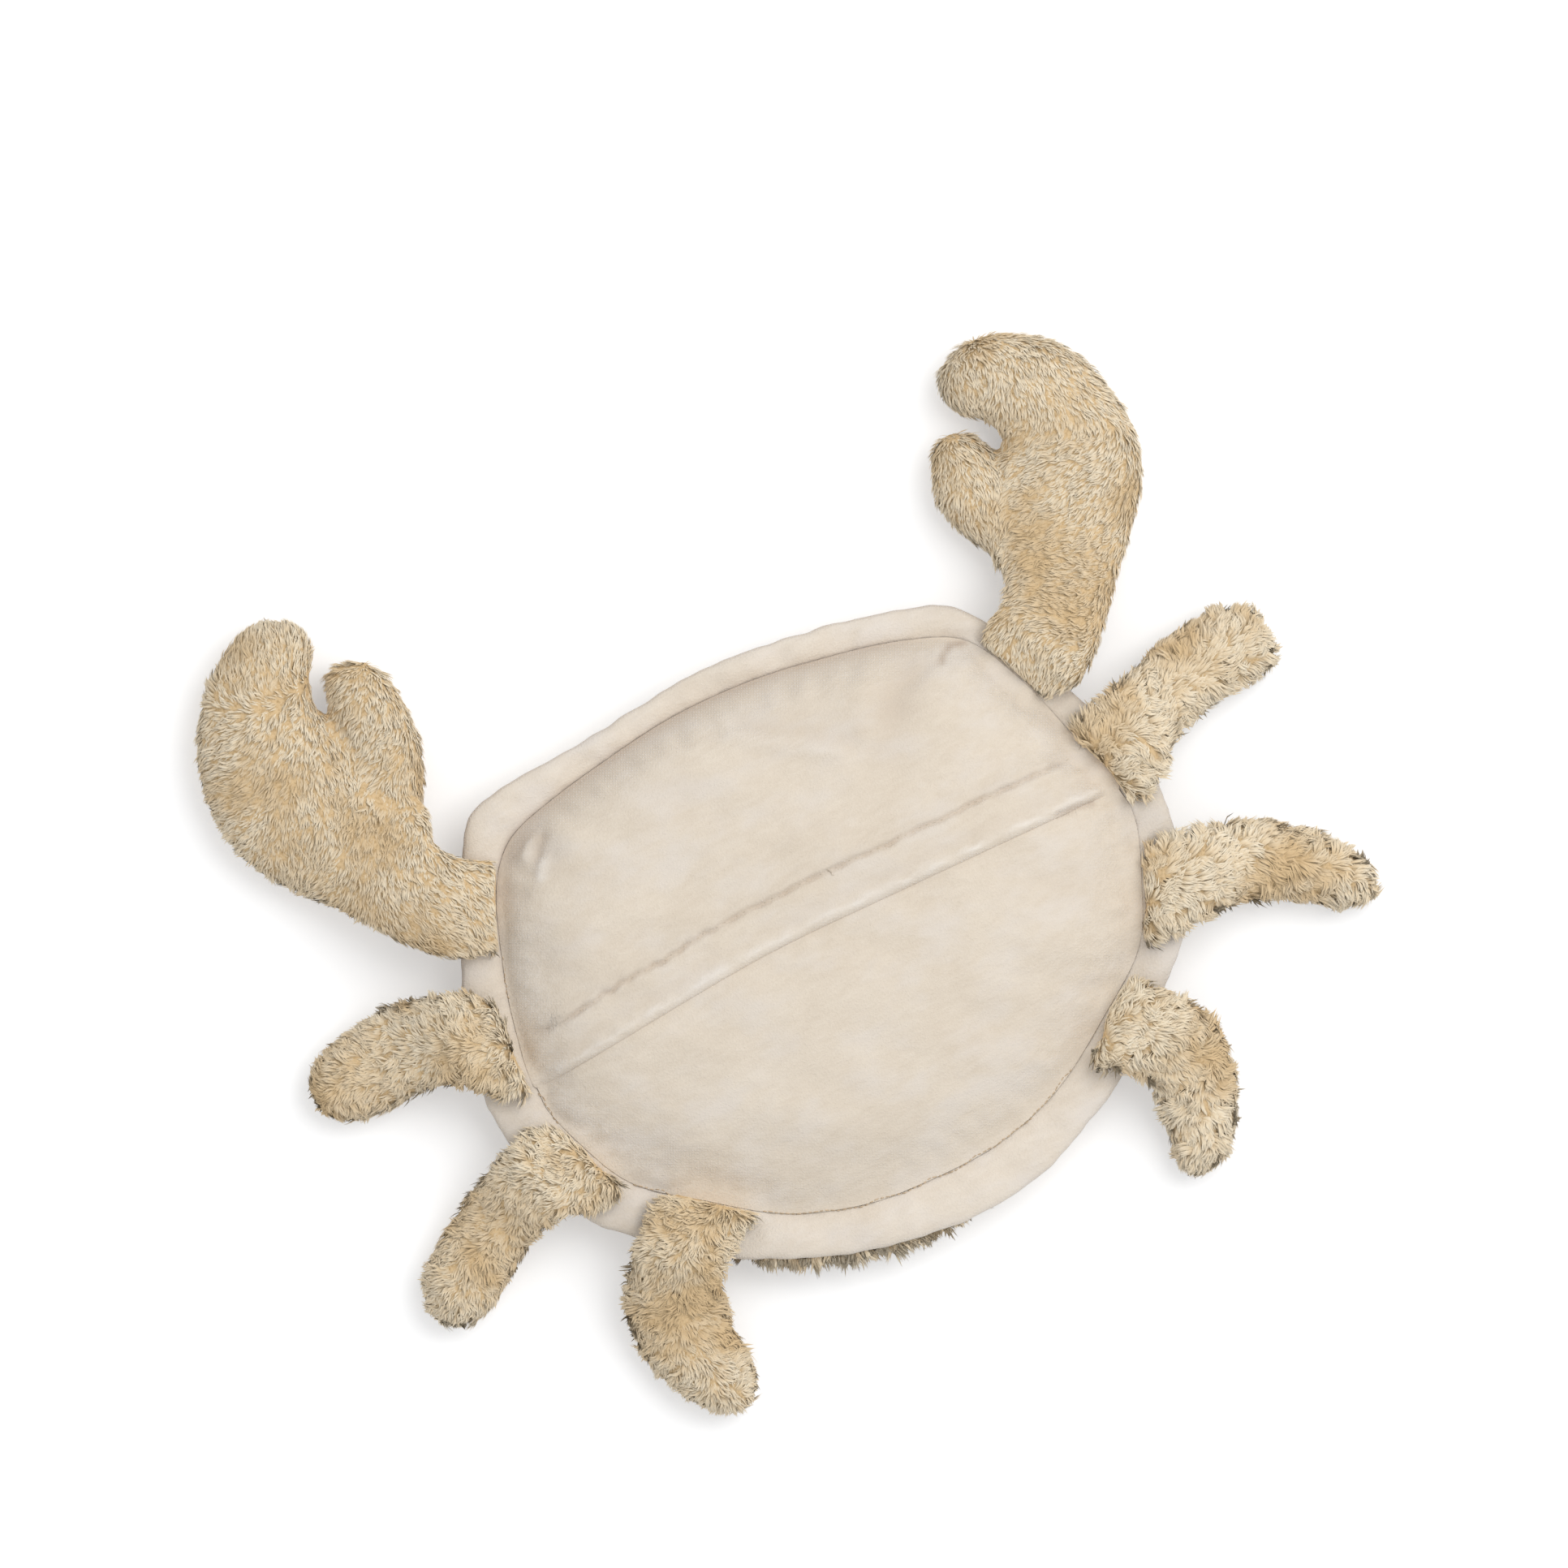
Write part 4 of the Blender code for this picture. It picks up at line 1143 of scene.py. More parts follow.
SHELL_LOOK = {
    "clump": 4.2, "clump_turn": 20, "turn": 6, "swirl": 25, "swirl_length": 40, "hug": 0.9, "lift": 20,
    "lift_spread": 8, "gather": 0.5, "curl": 0.12, "arch": 0.12, "calm": 0.3, "length": 6.5, "width": 2.1,
}
FRINGE_LOOK = {
    "clump": 1.8, "clump_turn": 34, "turn": 12, "swirl": 25, "swirl_length": 24, "hug": 0.6, "lift": 14,
    "lift_spread": 10, "gather": 0.16, "curl": 0.3, "arch": 0.05, "calm": 0.5, "length": 6.6, "width": 0.85,
}
# Where the fringe shows round the brim, and the share of its length that the other pile keeps there
FRINGE_ANGLE = math.radians(-110)
FRINGE_HALF_ANGLE = math.radians(25)
BRIM_PILE_SHARE = 0.42


def off_fringe(points):
    """How far round the brim a place lies from the fringe's middle: 1 at the fringe's end."""
    return np.abs(turned(heading(points[:, 0], points[:, 1]), FRINGE_ANGLE)) / FRINGE_HALF_ANGLE


def shell_reach(points):
    """The share of its length that the shell's pile keeps: short on the brim, which the rim covers."""
    return 1 - (1 - BRIM_PILE_SHARE) * smoothstep(0.86, 0.96, RIM.share(points[:, 0], points[:, 1]))


def fringe_reach(points):
    """The fringe's length: full in its middle, short at its ends, and uneven."""
    fade = 1 - smoothstep(0.35, 1.0, off_fringe(points))
    return 0.4 + 0.6 * fade + 0.1 * wobble(points, 9, 31)


def shell_lay(points, normals):
    """The shell's pile lies outward and a little to one side."""
    out = points[:, :2] - CENTRE
    across = np.stack((-out[:, 1], out[:, 0]), -1)
    flat = unit(out + across * 0.25)
    return np.concatenate((flat, np.zeros((len(points), 1))), 1)


def pile_on_shell(centres, normals):
    """Pile on the outside of the bowl only, thicker at its brim."""
    share = RIM.share(centres[:, 0], centres[:, 1])
    outside = (normals[:, 2] < 0.3) & (centres[:, 2] < shell_height(share) + 3.2)
    return outside * (1 + 1.6 * smoothstep(0.86, 0.97, share))


def pile_in_fringe(centres, normals):
    """Dense pile on the outer side of the brim, where the rim doesn't hide it."""
    share = RIM.share(centres[:, 0], centres[:, 1])
    side = (share > 0.93) & (normals[:, 2] < 0.5) & (centres[:, 2] > SHELL_RISE * 0.8)
    return side * (off_fringe(centres) < 1.15)


class CRAB_OT_shell(bpy.types.Operator):
    """Makes the plush shell under the body, whose fringe shows at the rear left"""

    bl_idname = "crab.shell"
    bl_label = "Shell"

    def execute(self, context):
        plush = context.scene.crab_plush
        skin = new_piece("shell_backing", shell_mesh(), backing_finish(plush))
        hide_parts("shell_cover")
        grow_pile(
            "shell_pile", skin.data, plush_finish(plush), plush.shell_locks, shell_lay, pile_on_shell,
            SHELL_SEED, dict(SHELL_LOOK, reach=shell_reach),
        )
        grow_pile(
            "shell_fringe", skin.data, plush_finish(plush), plush.fringe_locks, shell_lay, pile_in_fringe,
            FRINGE_SEED, dict(FRINGE_LOOK, reach=fringe_reach),
        )
        return {"FINISHED"}


# The rim's section: shares of its width from the seam out, and of its height
RIM_SECTION = [
    (-0.07, 0.3), (-0.08, 0.5), (-0.03, 0.62), (0.03, 0.69), (0.1, 0.76), (0.19, 0.85), (0.3, 0.93),
    (0.42, 0.98), (0.56, 1.0), (0.7, 0.98), (0.82, 0.9), (0.91, 0.79), (0.97, 0.64), (1.0, 0.44),
    (0.985, 0.22), (0.95, 0.06), (0.85, 0.0), (0.5, 0.0), (0.12, 0.0),
]
# The rim's points round the belly, and how much wider it is at the front
RIM_AROUND = 432
RIM_FRONT_EXTRA = 0.4
# Where the painted shade in the valley in front of the belly fades out, towards the right claw
DARK_VALLEY_END = (56.0, 84.0)


def rim_mesh():
    """The rim: a soft tube of velour whose flat underside lies on the brim."""
    angles = np.arange(RIM_AROUND) * math.tau / RIM_AROUND
    inner = SEAM.at(angles, 1, -0.1)
    edge = RIM.at(angles)
    wider = RIM_FRONT_EXTRA * np.maximum(np.sin(angles), 0)
    outer = RIM.at(angles, 1, wider + 0.26 * wobble(edge, 16, 11) + 0.12 * wobble(edge, 6, 12))
    puff = 0.5 * wobble(inner, 24, 13) + 0.22 * wobble(inner, 9, 14)
    pucker = 0.3 * wobble(inner, 5, 15)
    lift = seam_lift(angles)
    rows = []
    for out, up in RIM_SECTION:
        plan = inner + (outer - inner) * out
        height = RIM_BOTTOM + (RIM_TOP - RIM_BOTTOM) * up
        height = height + lift * (up > 0) * (1 - smoothstep(0, 0.35, out))
        soft = up * (puff * math.sin(math.pi * min(max(out, 0.0), 1.0)) + pucker * (1 - out) ** 3 * 0.7)
        rows.append(np.column_stack((plan, height + soft)))
    verts = np.concatenate(rows)
    faces = grid_faces(len(RIM_SECTION), RIM_AROUND, True)
    last = (len(RIM_SECTION) - 1) * RIM_AROUND
    steps = np.arange(RIM_AROUND)
    after = (steps + 1) % RIM_AROUND
    closing = np.stack((last + steps, last + after, after, steps), -1)
    mesh = build_mesh("rim", verts, np.concatenate((faces, closing)))
    outs = np.repeat([out for out, _ in RIM_SECTION], RIM_AROUND)
    turns = np.tile(np.sin(angles), len(RIM_SECTION))
    # Painted shade along the valley at the seam, strongest at the front, and along the rim's outer edge at
    # the front; no painted highlight
    dark = smoothstep(0.1, 0.7, turns) * (1 - smoothstep(*DARK_VALLEY_END, verts[:, 0]))
    painted_shade = np.exp(-(outs / 0.09) ** 2) * (0.06 + 0.6 * dark)
    painted_shade += 0.3 * smoothstep(0.9, 1.0, outs) * smoothstep(-0.2, 0.4, turns)
    painted_light_map(mesh, painted_shade, np.zeros_like(painted_shade))
    return mesh


class CRAB_OT_rim(bpy.types.Operator):
    """Makes the velour rim round the belly"""

    bl_idname = "crab.rim"
    bl_label = "Rim"

    def execute(self, context):
        velour = context.scene.crab_velour
        material = velour_finish("rim_velour", velour, velour.rim_colour)
        rim = new_piece("rim", rim_mesh(), material)
        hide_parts("rim_facing")
        return {"FINISHED"}


# Dents in the belly: middle, radius, depth and how much painted shade they get
BELLY_DENTS = [
    ((54.5, 46.3), 8.0, 2.8, 0.3), ((64.0, 55.5), 7.0, 1.5, 0.24), ((-71.0, 52.0), 5.0, 1.2, 0.1),
    ((20.0, 56.0), 14.0, 0.9, 0.08), ((99.0, 8.0), 9.0, 0.9, 0.05), ((-20.0, 50.0), 16.0, 0.6, 0.05),
    ((40.0, -62.0), 12.0, 0.8, 0.05), ((86.0, -36.0), 12.0, 0.8, 0.08), ((-86.0, 20.0), 8.0, 0.8, 0.05),
    ((44.0, 36.0), 9.0, 0.8, 0.08),
]

# Folds in the belly: a line, its half width, its height and how much painted shade it gets, painted highlight
# where below zero
BELLY_FOLDS = [
    ([(74.8, 53.6), (77.5, 55.8), (80.0, 57.3), (84.2, 56.0)], 1.1, -1.3, 0.85),
    ([(80.5, 60.0), (81.0, 54.0)], 1.8, 0.6, 0.0),
    ([(74.0, 60.5), (66.0, 54.0), (54.0, 50.0)], 3.4, -0.8, 0.06),
    ([(52.0, 60.0), (42.0, 46.0)], 5.0, 0.8, 0.0),
    ([(1.3, 60.4), (15.0, 51.0), (31.5, 40.3)], 3.0, 1.2, -0.14),
    ([(6.0, 63.0), (22.0, 51.5), (36.0, 42.0)], 3.4, -0.9, 0.12),
    ([(-30.0, 60.0), (-6.0, 44.0)], 5.0, 0.5, 0.0),
    ([(-82.0, 54.5), (-79.2, 56.6), (-74.2, 59.0)], 1.7, -1.2, 0.42),
    ([(-75.5, 51.5), (-73.1, 54.9), (-69.8, 56.9)], 1.8, -1.3, 0.4),
    ([(-77.5, 54.0), (-74.8, 57.1)], 1.4, 1.2, -0.3),
    ([(-73.6, 49.6), (-76.5, 45.2)], 1.9, 0.9, -0.55),
    ([(-92.0, 46.0), (-84.0, 42.0)], 2.4, -0.9, 0.16),
    ([(-70.0, 62.0), (-60.0, 52.0)], 3.0, 0.7, 0.0),
    ([(92.0, 30.0), (104.0, 14.0)], 2.6, -0.5, 0.05),
    ([(60.0, -50.0), (84.0, -40.0)], 4.0, 0.4, 0.0),
    ([(88.6, -8.9), (95.0, -9.4), (101.6, -10.5)], 0.9, -0.9, 0.6),
    ([(72.0, -26.0), (84.0, -30.0)], 5.0, -0.5, 0.06),
]
# The closure's crest and furrow, from its folded edge, and its stitched groove and the lip behind that
EDGE_CREST = 2.6
EDGE_CREST_WIDTH = 1.5
EDGE_FURROW = 6.6
STITCH_GROOVE_WIDTH = 1.0
STITCH_GROOVE_DEPTH = 1.3
STITCH_LIP = 2.2


def closure_sway(along):
    """How far the closure's seam strays from its line."""
    return 0.4 * wobble(along, 30, 27) + 0.25 * wobble(along, 9, 28)


def closure_waves(x, y):
    """Places across the closure's strip, and how strongly its crest, furrow, groove and lip show."""
    up = y - lower_closure(x)
    along = x[..., None]
    sway = closure_sway(along)
    crest = np.exp(-((up - EDGE_CREST - sway) / EDGE_CREST_WIDTH) ** 2) * (1 + 0.35 * wobble(along, 17, 29))
    furrow = np.exp(-((up - EDGE_FURROW - sway) / (1.6 * EDGE_CREST_WIDTH)) ** 2)
    stitched = up - CLOSURE_WIDTH - sway
    groove = np.exp(-(stitched / STITCH_GROOVE_WIDTH) ** 2) * (1 + 0.2 * wobble(along, 13, 25))
    lip = np.exp(-((stitched - STITCH_LIP) / STITCH_LIP) ** 2)
    return up, crest, furrow, groove, lip


def belly_relief(x, y, front):
    """How far the velour stands off the reference surface, how much painted shade it gets there and how much
    painted highlight.
    """
    plan = np.stack((x, y), -1)
    share = SEAM.share(x, y)
    from_seam = -SEAM.outside(x, y)
    angle = heading(x, y)
    relief = 0.6 * wobble(plan, 60, 21) + 0.3 * wobble(plan, 24, 22) + 0.09 * wobble(plan, 9, 26)
    edge = SEAM.at(angle)
    puckers = 0.45 * wobble(edge, 9, 23) + 0.2 * wobble(edge, 4.5, 24)
    relief += np.exp(-((from_seam - 6) / 5) ** 2) * puckers
    # Painted shade in the valley at the seam, strongest at the steep front, and painted highlight on the left
    # wall
    steep = smoothstep(0.15, 0.75, np.sin(angle)) * (1 - smoothstep(*DARK_VALLEY_END, x))
    painted_shade = np.exp(-from_seam / 2.4) * (0.04 + 0.8 * steep)
    left_wall = smoothstep(0.75, 0.98, -np.cos(angle))
    painted_highlight = 0.34 * left_wall * np.exp(-((from_seam - 7) / 6) ** 2)
    # Dents and folds get painted shade, and some folds painted highlight
    for middle, radius, depth, darkness in BELLY_DENTS:
        near = np.exp(-(np.hypot(x - middle[0], y - middle[1]) / radius) ** 2)
        relief -= depth * near
        painted_shade += darkness * near
    for line, width, height, darkness in BELLY_FOLDS:
        _, _, gap = nearest_on_line(plan.reshape(-1, 2), np.array(line, float))
        near = np.exp(-(gap.reshape(x.shape) / width) ** 2)
        relief += height * near
        painted_shade += max(darkness, 0) * near
        painted_highlight += max(-darkness, 0) * near
    up, crest, furrow, groove, lip = closure_waves(x, y)
    ends = 1 - smoothstep(0.9, 0.985, share)
    if front:
        relief += (0.6 * crest - 0.5 * furrow - STITCH_GROOVE_DEPTH * groove + 0.45 * lip) * ends
        # Painted shade in the groove, furrow, folded edge and lip, and painted highlight on the crest
        painted_shade += (0.3 * groove + 0.1 * furrow + 0.3 * np.exp(-(up / 0.45) ** 2) + 0.08 * lip) * ends
        painted_highlight += 0.35 * crest * ends
    else:
        # Painted shade where the rear panel tucks under the front panel's edge
        painted_shade += 0.06 * np.exp(-np.maximum(-up, 0) / 1.1) * ends
    relief *= smoothstep(0, 9, from_seam)
    return relief, painted_shade, painted_highlight


def panel_level(x, y, front):
    """The panel's face before its relief: lifted over the tapes, or tucked under the front panel."""
    share = closure_share(x, y)
    middle = closure_middle(x)
    if front:
        return CLOSURE_LIFT * middle * (1 - smoothstep(1.0, 1.5, share))
    sunk = FABRIC_THICKNESS + FABRIC_GAP
    outside = FABRIC_GAP * middle + sunk * (1 - middle)
    tucked = sunk + CLOSURE_DIP * middle
    return -outside * smoothstep(-0.5, -0.04, share) - (tucked - outside) * smoothstep(0.02, 0.17, share)


# How far to each side the belly's slope is measured
SLOPE_REACH = 0.4


def belly_face(x, y, front, sunk=0.0):
    """Points on a panel's outer face, or sunk below it, and how much painted shade and painted highlight the
    velour gets there.
    """
    slope_x = (belly_height(x + SLOPE_REACH, y) - belly_height(x - SLOPE_REACH, y)) / (2 * SLOPE_REACH)
    slope_y = (belly_height(x, y + SLOPE_REACH) - belly_height(x, y - SLOPE_REACH)) / (2 * SLOPE_REACH)
    normal = unit(np.stack((-slope_x, -slope_y, np.ones_like(x)), -1))
    relief, painted_shade, painted_highlight = belly_relief(x, y, front)
    level = panel_level(x, y, front) + relief - sunk
    place = np.stack((x, y, belly_height(x, y)), -1) + normal * level[..., None]
    low = SEAM_HEIGHT + VALLEY_LIFT + seam_lift(heading(x, y))
    over = place[..., 2] - low
    foot = low + (over + np.sqrt(over ** 2 + VALLEY_SOFTNESS ** 2)) / 2
    near = smoothstep(-12, -4, SEAM.outside(x, y))
    place[..., 2] += (foot - place[..., 2]) * near
    return place, painted_shade, painted_highlight


def closure_ends(line_y):
    """Where a line across the body meets the seam on both sides."""
    ends = []
    for side in (-1, 1):
        low, high = 0.0, CLOSURE_HALF_LENGTH
        for _ in range(40):
            middle = (low + high) / 2
            if SEAM.share(side * middle, line_y(side * middle)) > 1:
                high = middle
            else:
                low = middle
        ends.append(side * low)
    return ends


# Rows of the panels' meshes near the closure, by their distance from the panel's own edge
FRONT_ROWS = (
    0, 0.2, 0.5, 0.9, 1.4, 2, 2.7, 3.5, 4.5, 6, 7.5, 9.5, 11.5, 13, 14, 14.6, 15, 15.4, 15.8, 16.2, 16.6,
    17.1, 17.7, 18.6, 20.2, 22.5, 25,
)
REAR_ROWS = (0, 4, 8, 11, 13, 14, 14.6, 15.1, 15.6, 16.2, 17, 18, 19.4, 21.2, 23.5, 26)
# They draw together where a panel is narrower than this, and these go on from them to the seam
ROW_REACH = 30.0
FAR_ROWS = 44
PANEL_COLUMNS = 200
# Where the rear panel's edge is tucked in, as a share of the closure's width
TUCKED_SHARE = 0.93
# How the front panel's folded edge rounds down
FOLD_REACH = 2.4
FOLD_DROP = 1.36


def panel_plan(line_y, front):
    """A panel's rows of points seen from above, from its closure edge to the seam."""
    left, right = closure_ends(line_y)
    along = (1 - np.cos(np.linspace(0.02, math.pi - 0.02, PANEL_COLUMNS))) / 2
    along = 0.65 * along + 0.35 * np.linspace(0.002, 0.998, PANEL_COLUMNS)
    base_x = left + (right - left) * along
    base = np.stack((base_x, line_y(base_x)), -1)
    first, last = (heading(x, line_y(x)) for x in (left, right))
    sweep = (last - first) % math.tau - (math.tau if front else 0)
    arc = SEAM.at(np.linspace(first, first + sweep, 2000))
    length = np.concatenate(((0,), np.cumsum(np.hypot(*np.diff(arc, axis=0).T))))
    length /= length[-1]
    goal = np.stack((np.interp(along, length, arc[:, 0]), np.interp(along, length, arc[:, 1])), -1)
    scale = np.minimum(1, np.abs(goal[:, 1] - base[:, 1]) / ROW_REACH)
    way = 1 if front else -1
    near = FRONT_ROWS if front else REAR_ROWS
    rows = [np.stack((base[:, 0], base[:, 1] + way * offset * scale), -1) for offset in near]
    start = rows[-1]
    for step in range(1, FAR_ROWS + 1):
        share = 1 - (1 - step / FAR_ROWS) ** 1.45
        rows.append(start + (goal - start) * share)
    return np.stack(rows)


def panel_faces(high, wide, front):
    """Quads of a panel's face, its underside and its four edges, all facing outward."""
    count = high * wide
    faces = grid_faces(high, wide, False)
    edges = [
        np.arange(wide), np.arange(wide) + (high - 1) * wide,
        np.arange(high) * wide, np.arange(high) * wide + wide - 1,
    ]
    sides = []
    for index, edge in enumerate(edges):
        quad = np.stack((edge[:-1], edge[1:], edge[1:] + count, edge[:-1] + count), -1)
        sides.append(quad if index in (1, 2) else quad[:, ::-1])
    sides = np.concatenate(sides)
    if not front:
        faces, sides = faces[:, ::-1], sides[:, ::-1]
    return np.concatenate((faces, faces[:, ::-1] + count, sides))


def panel_mesh(name, front):
    """A velour panel from its closure edge to the seam, with its underside."""
    start_share = 0.0 if front else TUCKED_SHARE

    def line_y(x):
        return lower_closure(x) + start_share * CLOSURE_WIDTH

    plan = panel_plan(line_y, front)
    x, y = plan[..., 0], plan[..., 1]
    rounded = 0.0
    if front:
        rounded = FOLD_DROP * np.clip(1 - (y - line_y(x)) / FOLD_REACH, 0, 1) ** 2
    top, painted_shade, painted_highlight = belly_face(x, y, front, rounded)
    under, _, _ = belly_face(x, y, front, FABRIC_THICKNESS)
    under[..., 2] = np.maximum(np.minimum(under[..., 2], top[..., 2] - 0.2), SEAM_HEIGHT - 0.2)
    verts = np.concatenate((top.reshape(-1, 3), under.reshape(-1, 3)))
    mesh = build_mesh(name, verts, panel_faces(*x.shape, front))
    painted_light_map(mesh, np.tile(painted_shade.ravel(), 2), np.tile(painted_highlight.ravel(), 2))
    return mesh


class CRAB_OT_belly(bpy.types.Operator):
    """Makes the belly pouch: two velour panels that overlap at the closure"""

    bl_idname = "crab.belly"
    bl_label = "Belly"

    def execute(self, context):
        velour = context.scene.crab_velour
        material = velour_finish("belly_velour", velour, velour.belly_colour)
        for name, node_name, front in (
            ("belly_front", "belly_front_panel", True), ("belly_rear", "belly_rear_panel", False),
        ):
            panel = new_piece(name, panel_mesh(name, front), material)
            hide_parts(node_name)
        return {"FINISHED"}


def thread_mesh(name, strands, radius, sides=5):
    """Round threads through points, each drawn to a point at both ends."""
    verts, faces = [], []
    for strand in strands:
        along = unit(np.gradient(strand, axis=0))
        across = unit(np.cross(along, (0.0, 0.0, 1.0)))
        up = np.cross(across, along)
        first = len(verts)
        verts.append(strand[0])
        for index in range(1, len(strand) - 1):
            for step in range(sides):
                angle = math.tau * step / sides
                way = across[index] * math.cos(angle) + up[index] * math.sin(angle)
                verts.append(strand[index] + way * radius)
        last = len(verts)
        verts.append(strand[-1])
        for step in range(sides):
            after = (step + 1) % sides
            faces.append((first, first + 1 + step, first + 1 + after))
            for low in range(first + 1, last - sides, sides):
                high = low + sides
                faces.append((low + step, high + after, low + after))
                faces.append((low + step, high + step, high + after))
            faces.append((last, last - sides + after, last - sides + step))
    return build_mesh(name, np.array(verts), np.array(faces))


def stitches(curve, pitch, length, dip, stray):
    """Strands of stitches along a curve: each rises out of the cloth and dips back into it."""
    steps = np.hypot(*np.diff(curve[:, :2], axis=0).T)
    run = np.concatenate(((0,), np.cumsum(steps)))
    strands = []
    for number, middle in enumerate(np.arange(pitch / 2, run[-1], pitch)):
        reach = length / 2 * (1 + 0.2 * math.sin(number * 2.3))
        spots = middle + reach * np.linspace(-1, 1, 5)
        strand = np.stack([np.interp(spots, run, curve[:, axis]) for axis in range(3)], -1)
        strand[:, 2] -= dip * np.array((1, 0.1, 0, 0.1, 1))
        way = unit(strand[-1, :2] - strand[0, :2])
        strand[:, :2] += np.array((-way[1], way[0])) * stray * math.sin(number * 1.7)
        strands.append(strand)
    return strands


# Runs of the body seam that show between the limbs, from one place to another round the seam
SEAM_RUNS = [
    ((-100, 27), (-107, 13)), ((-109, -20), (-106, -32)), ((-94, -62), (-81, -69)), ((-57, -88), (60, -90)),
]
# Stitches: the distance between them, their length, and how far they dip and stray
SEAM_STITCH = {"pitch": 1.9, "length": 1.8, "dip": 0.2, "stray": 0.1}
CLOSURE_STITCH = {"pitch": 2.6, "length": 1.6, "dip": 0.4, "stray": 0.1}
SEAM_THREAD_RADIUS = 0.17
CLOSURE_THREAD_RADIUS = 0.12

# Loose thread ends: places on the belly that each runs through
LOOSE_THREADS = [
    [(11.0, 7.2), (11.6, 6.4), (12.2, 5.4), (12.0, 4.4), (12.9, 3.8)],
    [(103.6, 7.2), (104.6, 7.9), (105.4, 9.0), (106.8, 9.6), (108.2, 9.4)],
]


class CRAB_OT_stitches(bpy.types.Operator):
    """Sews the body seam and the closure's hem, and leaves two loose thread ends"""

    bl_idname = "crab.stitches"
    bl_label = "Stitches"

    def execute(self, context):
        velour = context.scene.crab_velour
        strands = []
        for start, end in SEAM_RUNS:
            angles = np.linspace(heading(*start) % math.tau, heading(*end) % math.tau, 200)
            edge = SEAM.at(angles)
            plan = SEAM.at(angles, 1, 0.45 * wobble(edge, 17, 41) + 0.2 * wobble(edge, 5, 42) - 0.2)
            height = belly_face(plan[:, 0], plan[:, 1], False)[0][:, 2] + 0.1
            strands += stitches(np.column_stack((plan, height)), **SEAM_STITCH)
        mesh = thread_mesh("seam_stitches", strands, SEAM_THREAD_RADIUS)
        new_piece("seam_stitches", mesh, thread_finish("seam_thread", velour.stitch_colour))
        x = np.linspace(-CLOSURE_HALF_LENGTH, CLOSURE_HALF_LENGTH, 800)
        y = lower_closure(x) + CLOSURE_WIDTH + closure_sway(x[:, None])
        held = SEAM.outside(x, y) < -6
        x, y = x[held], y[held]
        curve = belly_face(x, y, True, -0.05)[0]
        hem = stitches(curve, **CLOSURE_STITCH)
        for thread in LOOSE_THREADS:
            spots = np.array(thread)
            loose = belly_face(spots[:, 0], spots[:, 1], True, -0.25)[0]
            hem.append(loose)
        mesh = thread_mesh("closure_stitches", hem, CLOSURE_THREAD_RADIUS)
        new_piece("closure_stitches", mesh, thread_finish("hem_thread", velour.hem_colour))
        return {"FINISHED"}


# Colours of the pieces inside, and of the eyes
PILLOW_COTTON = (0.79, 0.75, 0.66)
LINING_COTTON = (0.8, 0.76, 0.68)
FILLING_WOOL = (0.83, 0.79, 0.7)
TAPE_CREAM = (0.78, 0.74, 0.66)
EYE_THREAD = (0.03, 0.024, 0.02)


class CRAB_OT_inside(bpy.types.Operator):
    """Gives the pieces inside the pouch and the shell, and the stitched eyes, their finishes"""

    bl_idname = "crab.inside"
    bl_label = "Inside and eyes"

    def execute(self, context):
        finishes = {
            "heat_pillow": cotton_finish("pillow_cotton", PILLOW_COTTON, 0.5),
            "pocket_lining": cotton_finish("lining_cotton", LINING_COTTON, 0.4),
            "shell_filling": wool_finish("filling_wool", FILLING_WOOL),
            "hook_tape": cotton_finish("hook_tape", TAPE_CREAM, 0.9),
            "loop_tape": wool_finish("loop_tape", TAPE_CREAM),
            "eye_left": thread_finish("eye_left", EYE_THREAD),
            "eye_right": thread_finish("eye_right", EYE_THREAD),
        }
        for name, material in finishes.items():
            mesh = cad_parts[name].data
            mesh.materials.clear()
            mesh.materials.append(material)
        return {"FINISHED"}


# Stage


# The floor: half its width in millimetres, its colour, and how bright it glows to the camera
FLOOR_HALF = 4000.0
FLOOR_COLOUR = (0.82, 0.82, 0.825)
FLOOR_GLOW = 0.35
# Where the camera looks straight down, from how high in metres, and how far it is turned
VIEW_MIDDLE = (0.0104, 0.0386)
VIEW_HEIGHT = 1.2
VIEW_TURN = math.radians(-25)
# The large lamp: the way to it over the floor, its rise, its distance in metres and its colour
KEY_WAY = (0.97, 0.24)
KEY_RISE = math.radians(60)
KEY_DISTANCE = 2.6
KEY_COLOUR = (1.0, 0.99, 0.975)
SKY_COLOUR = (0.97, 0.985, 1.0)


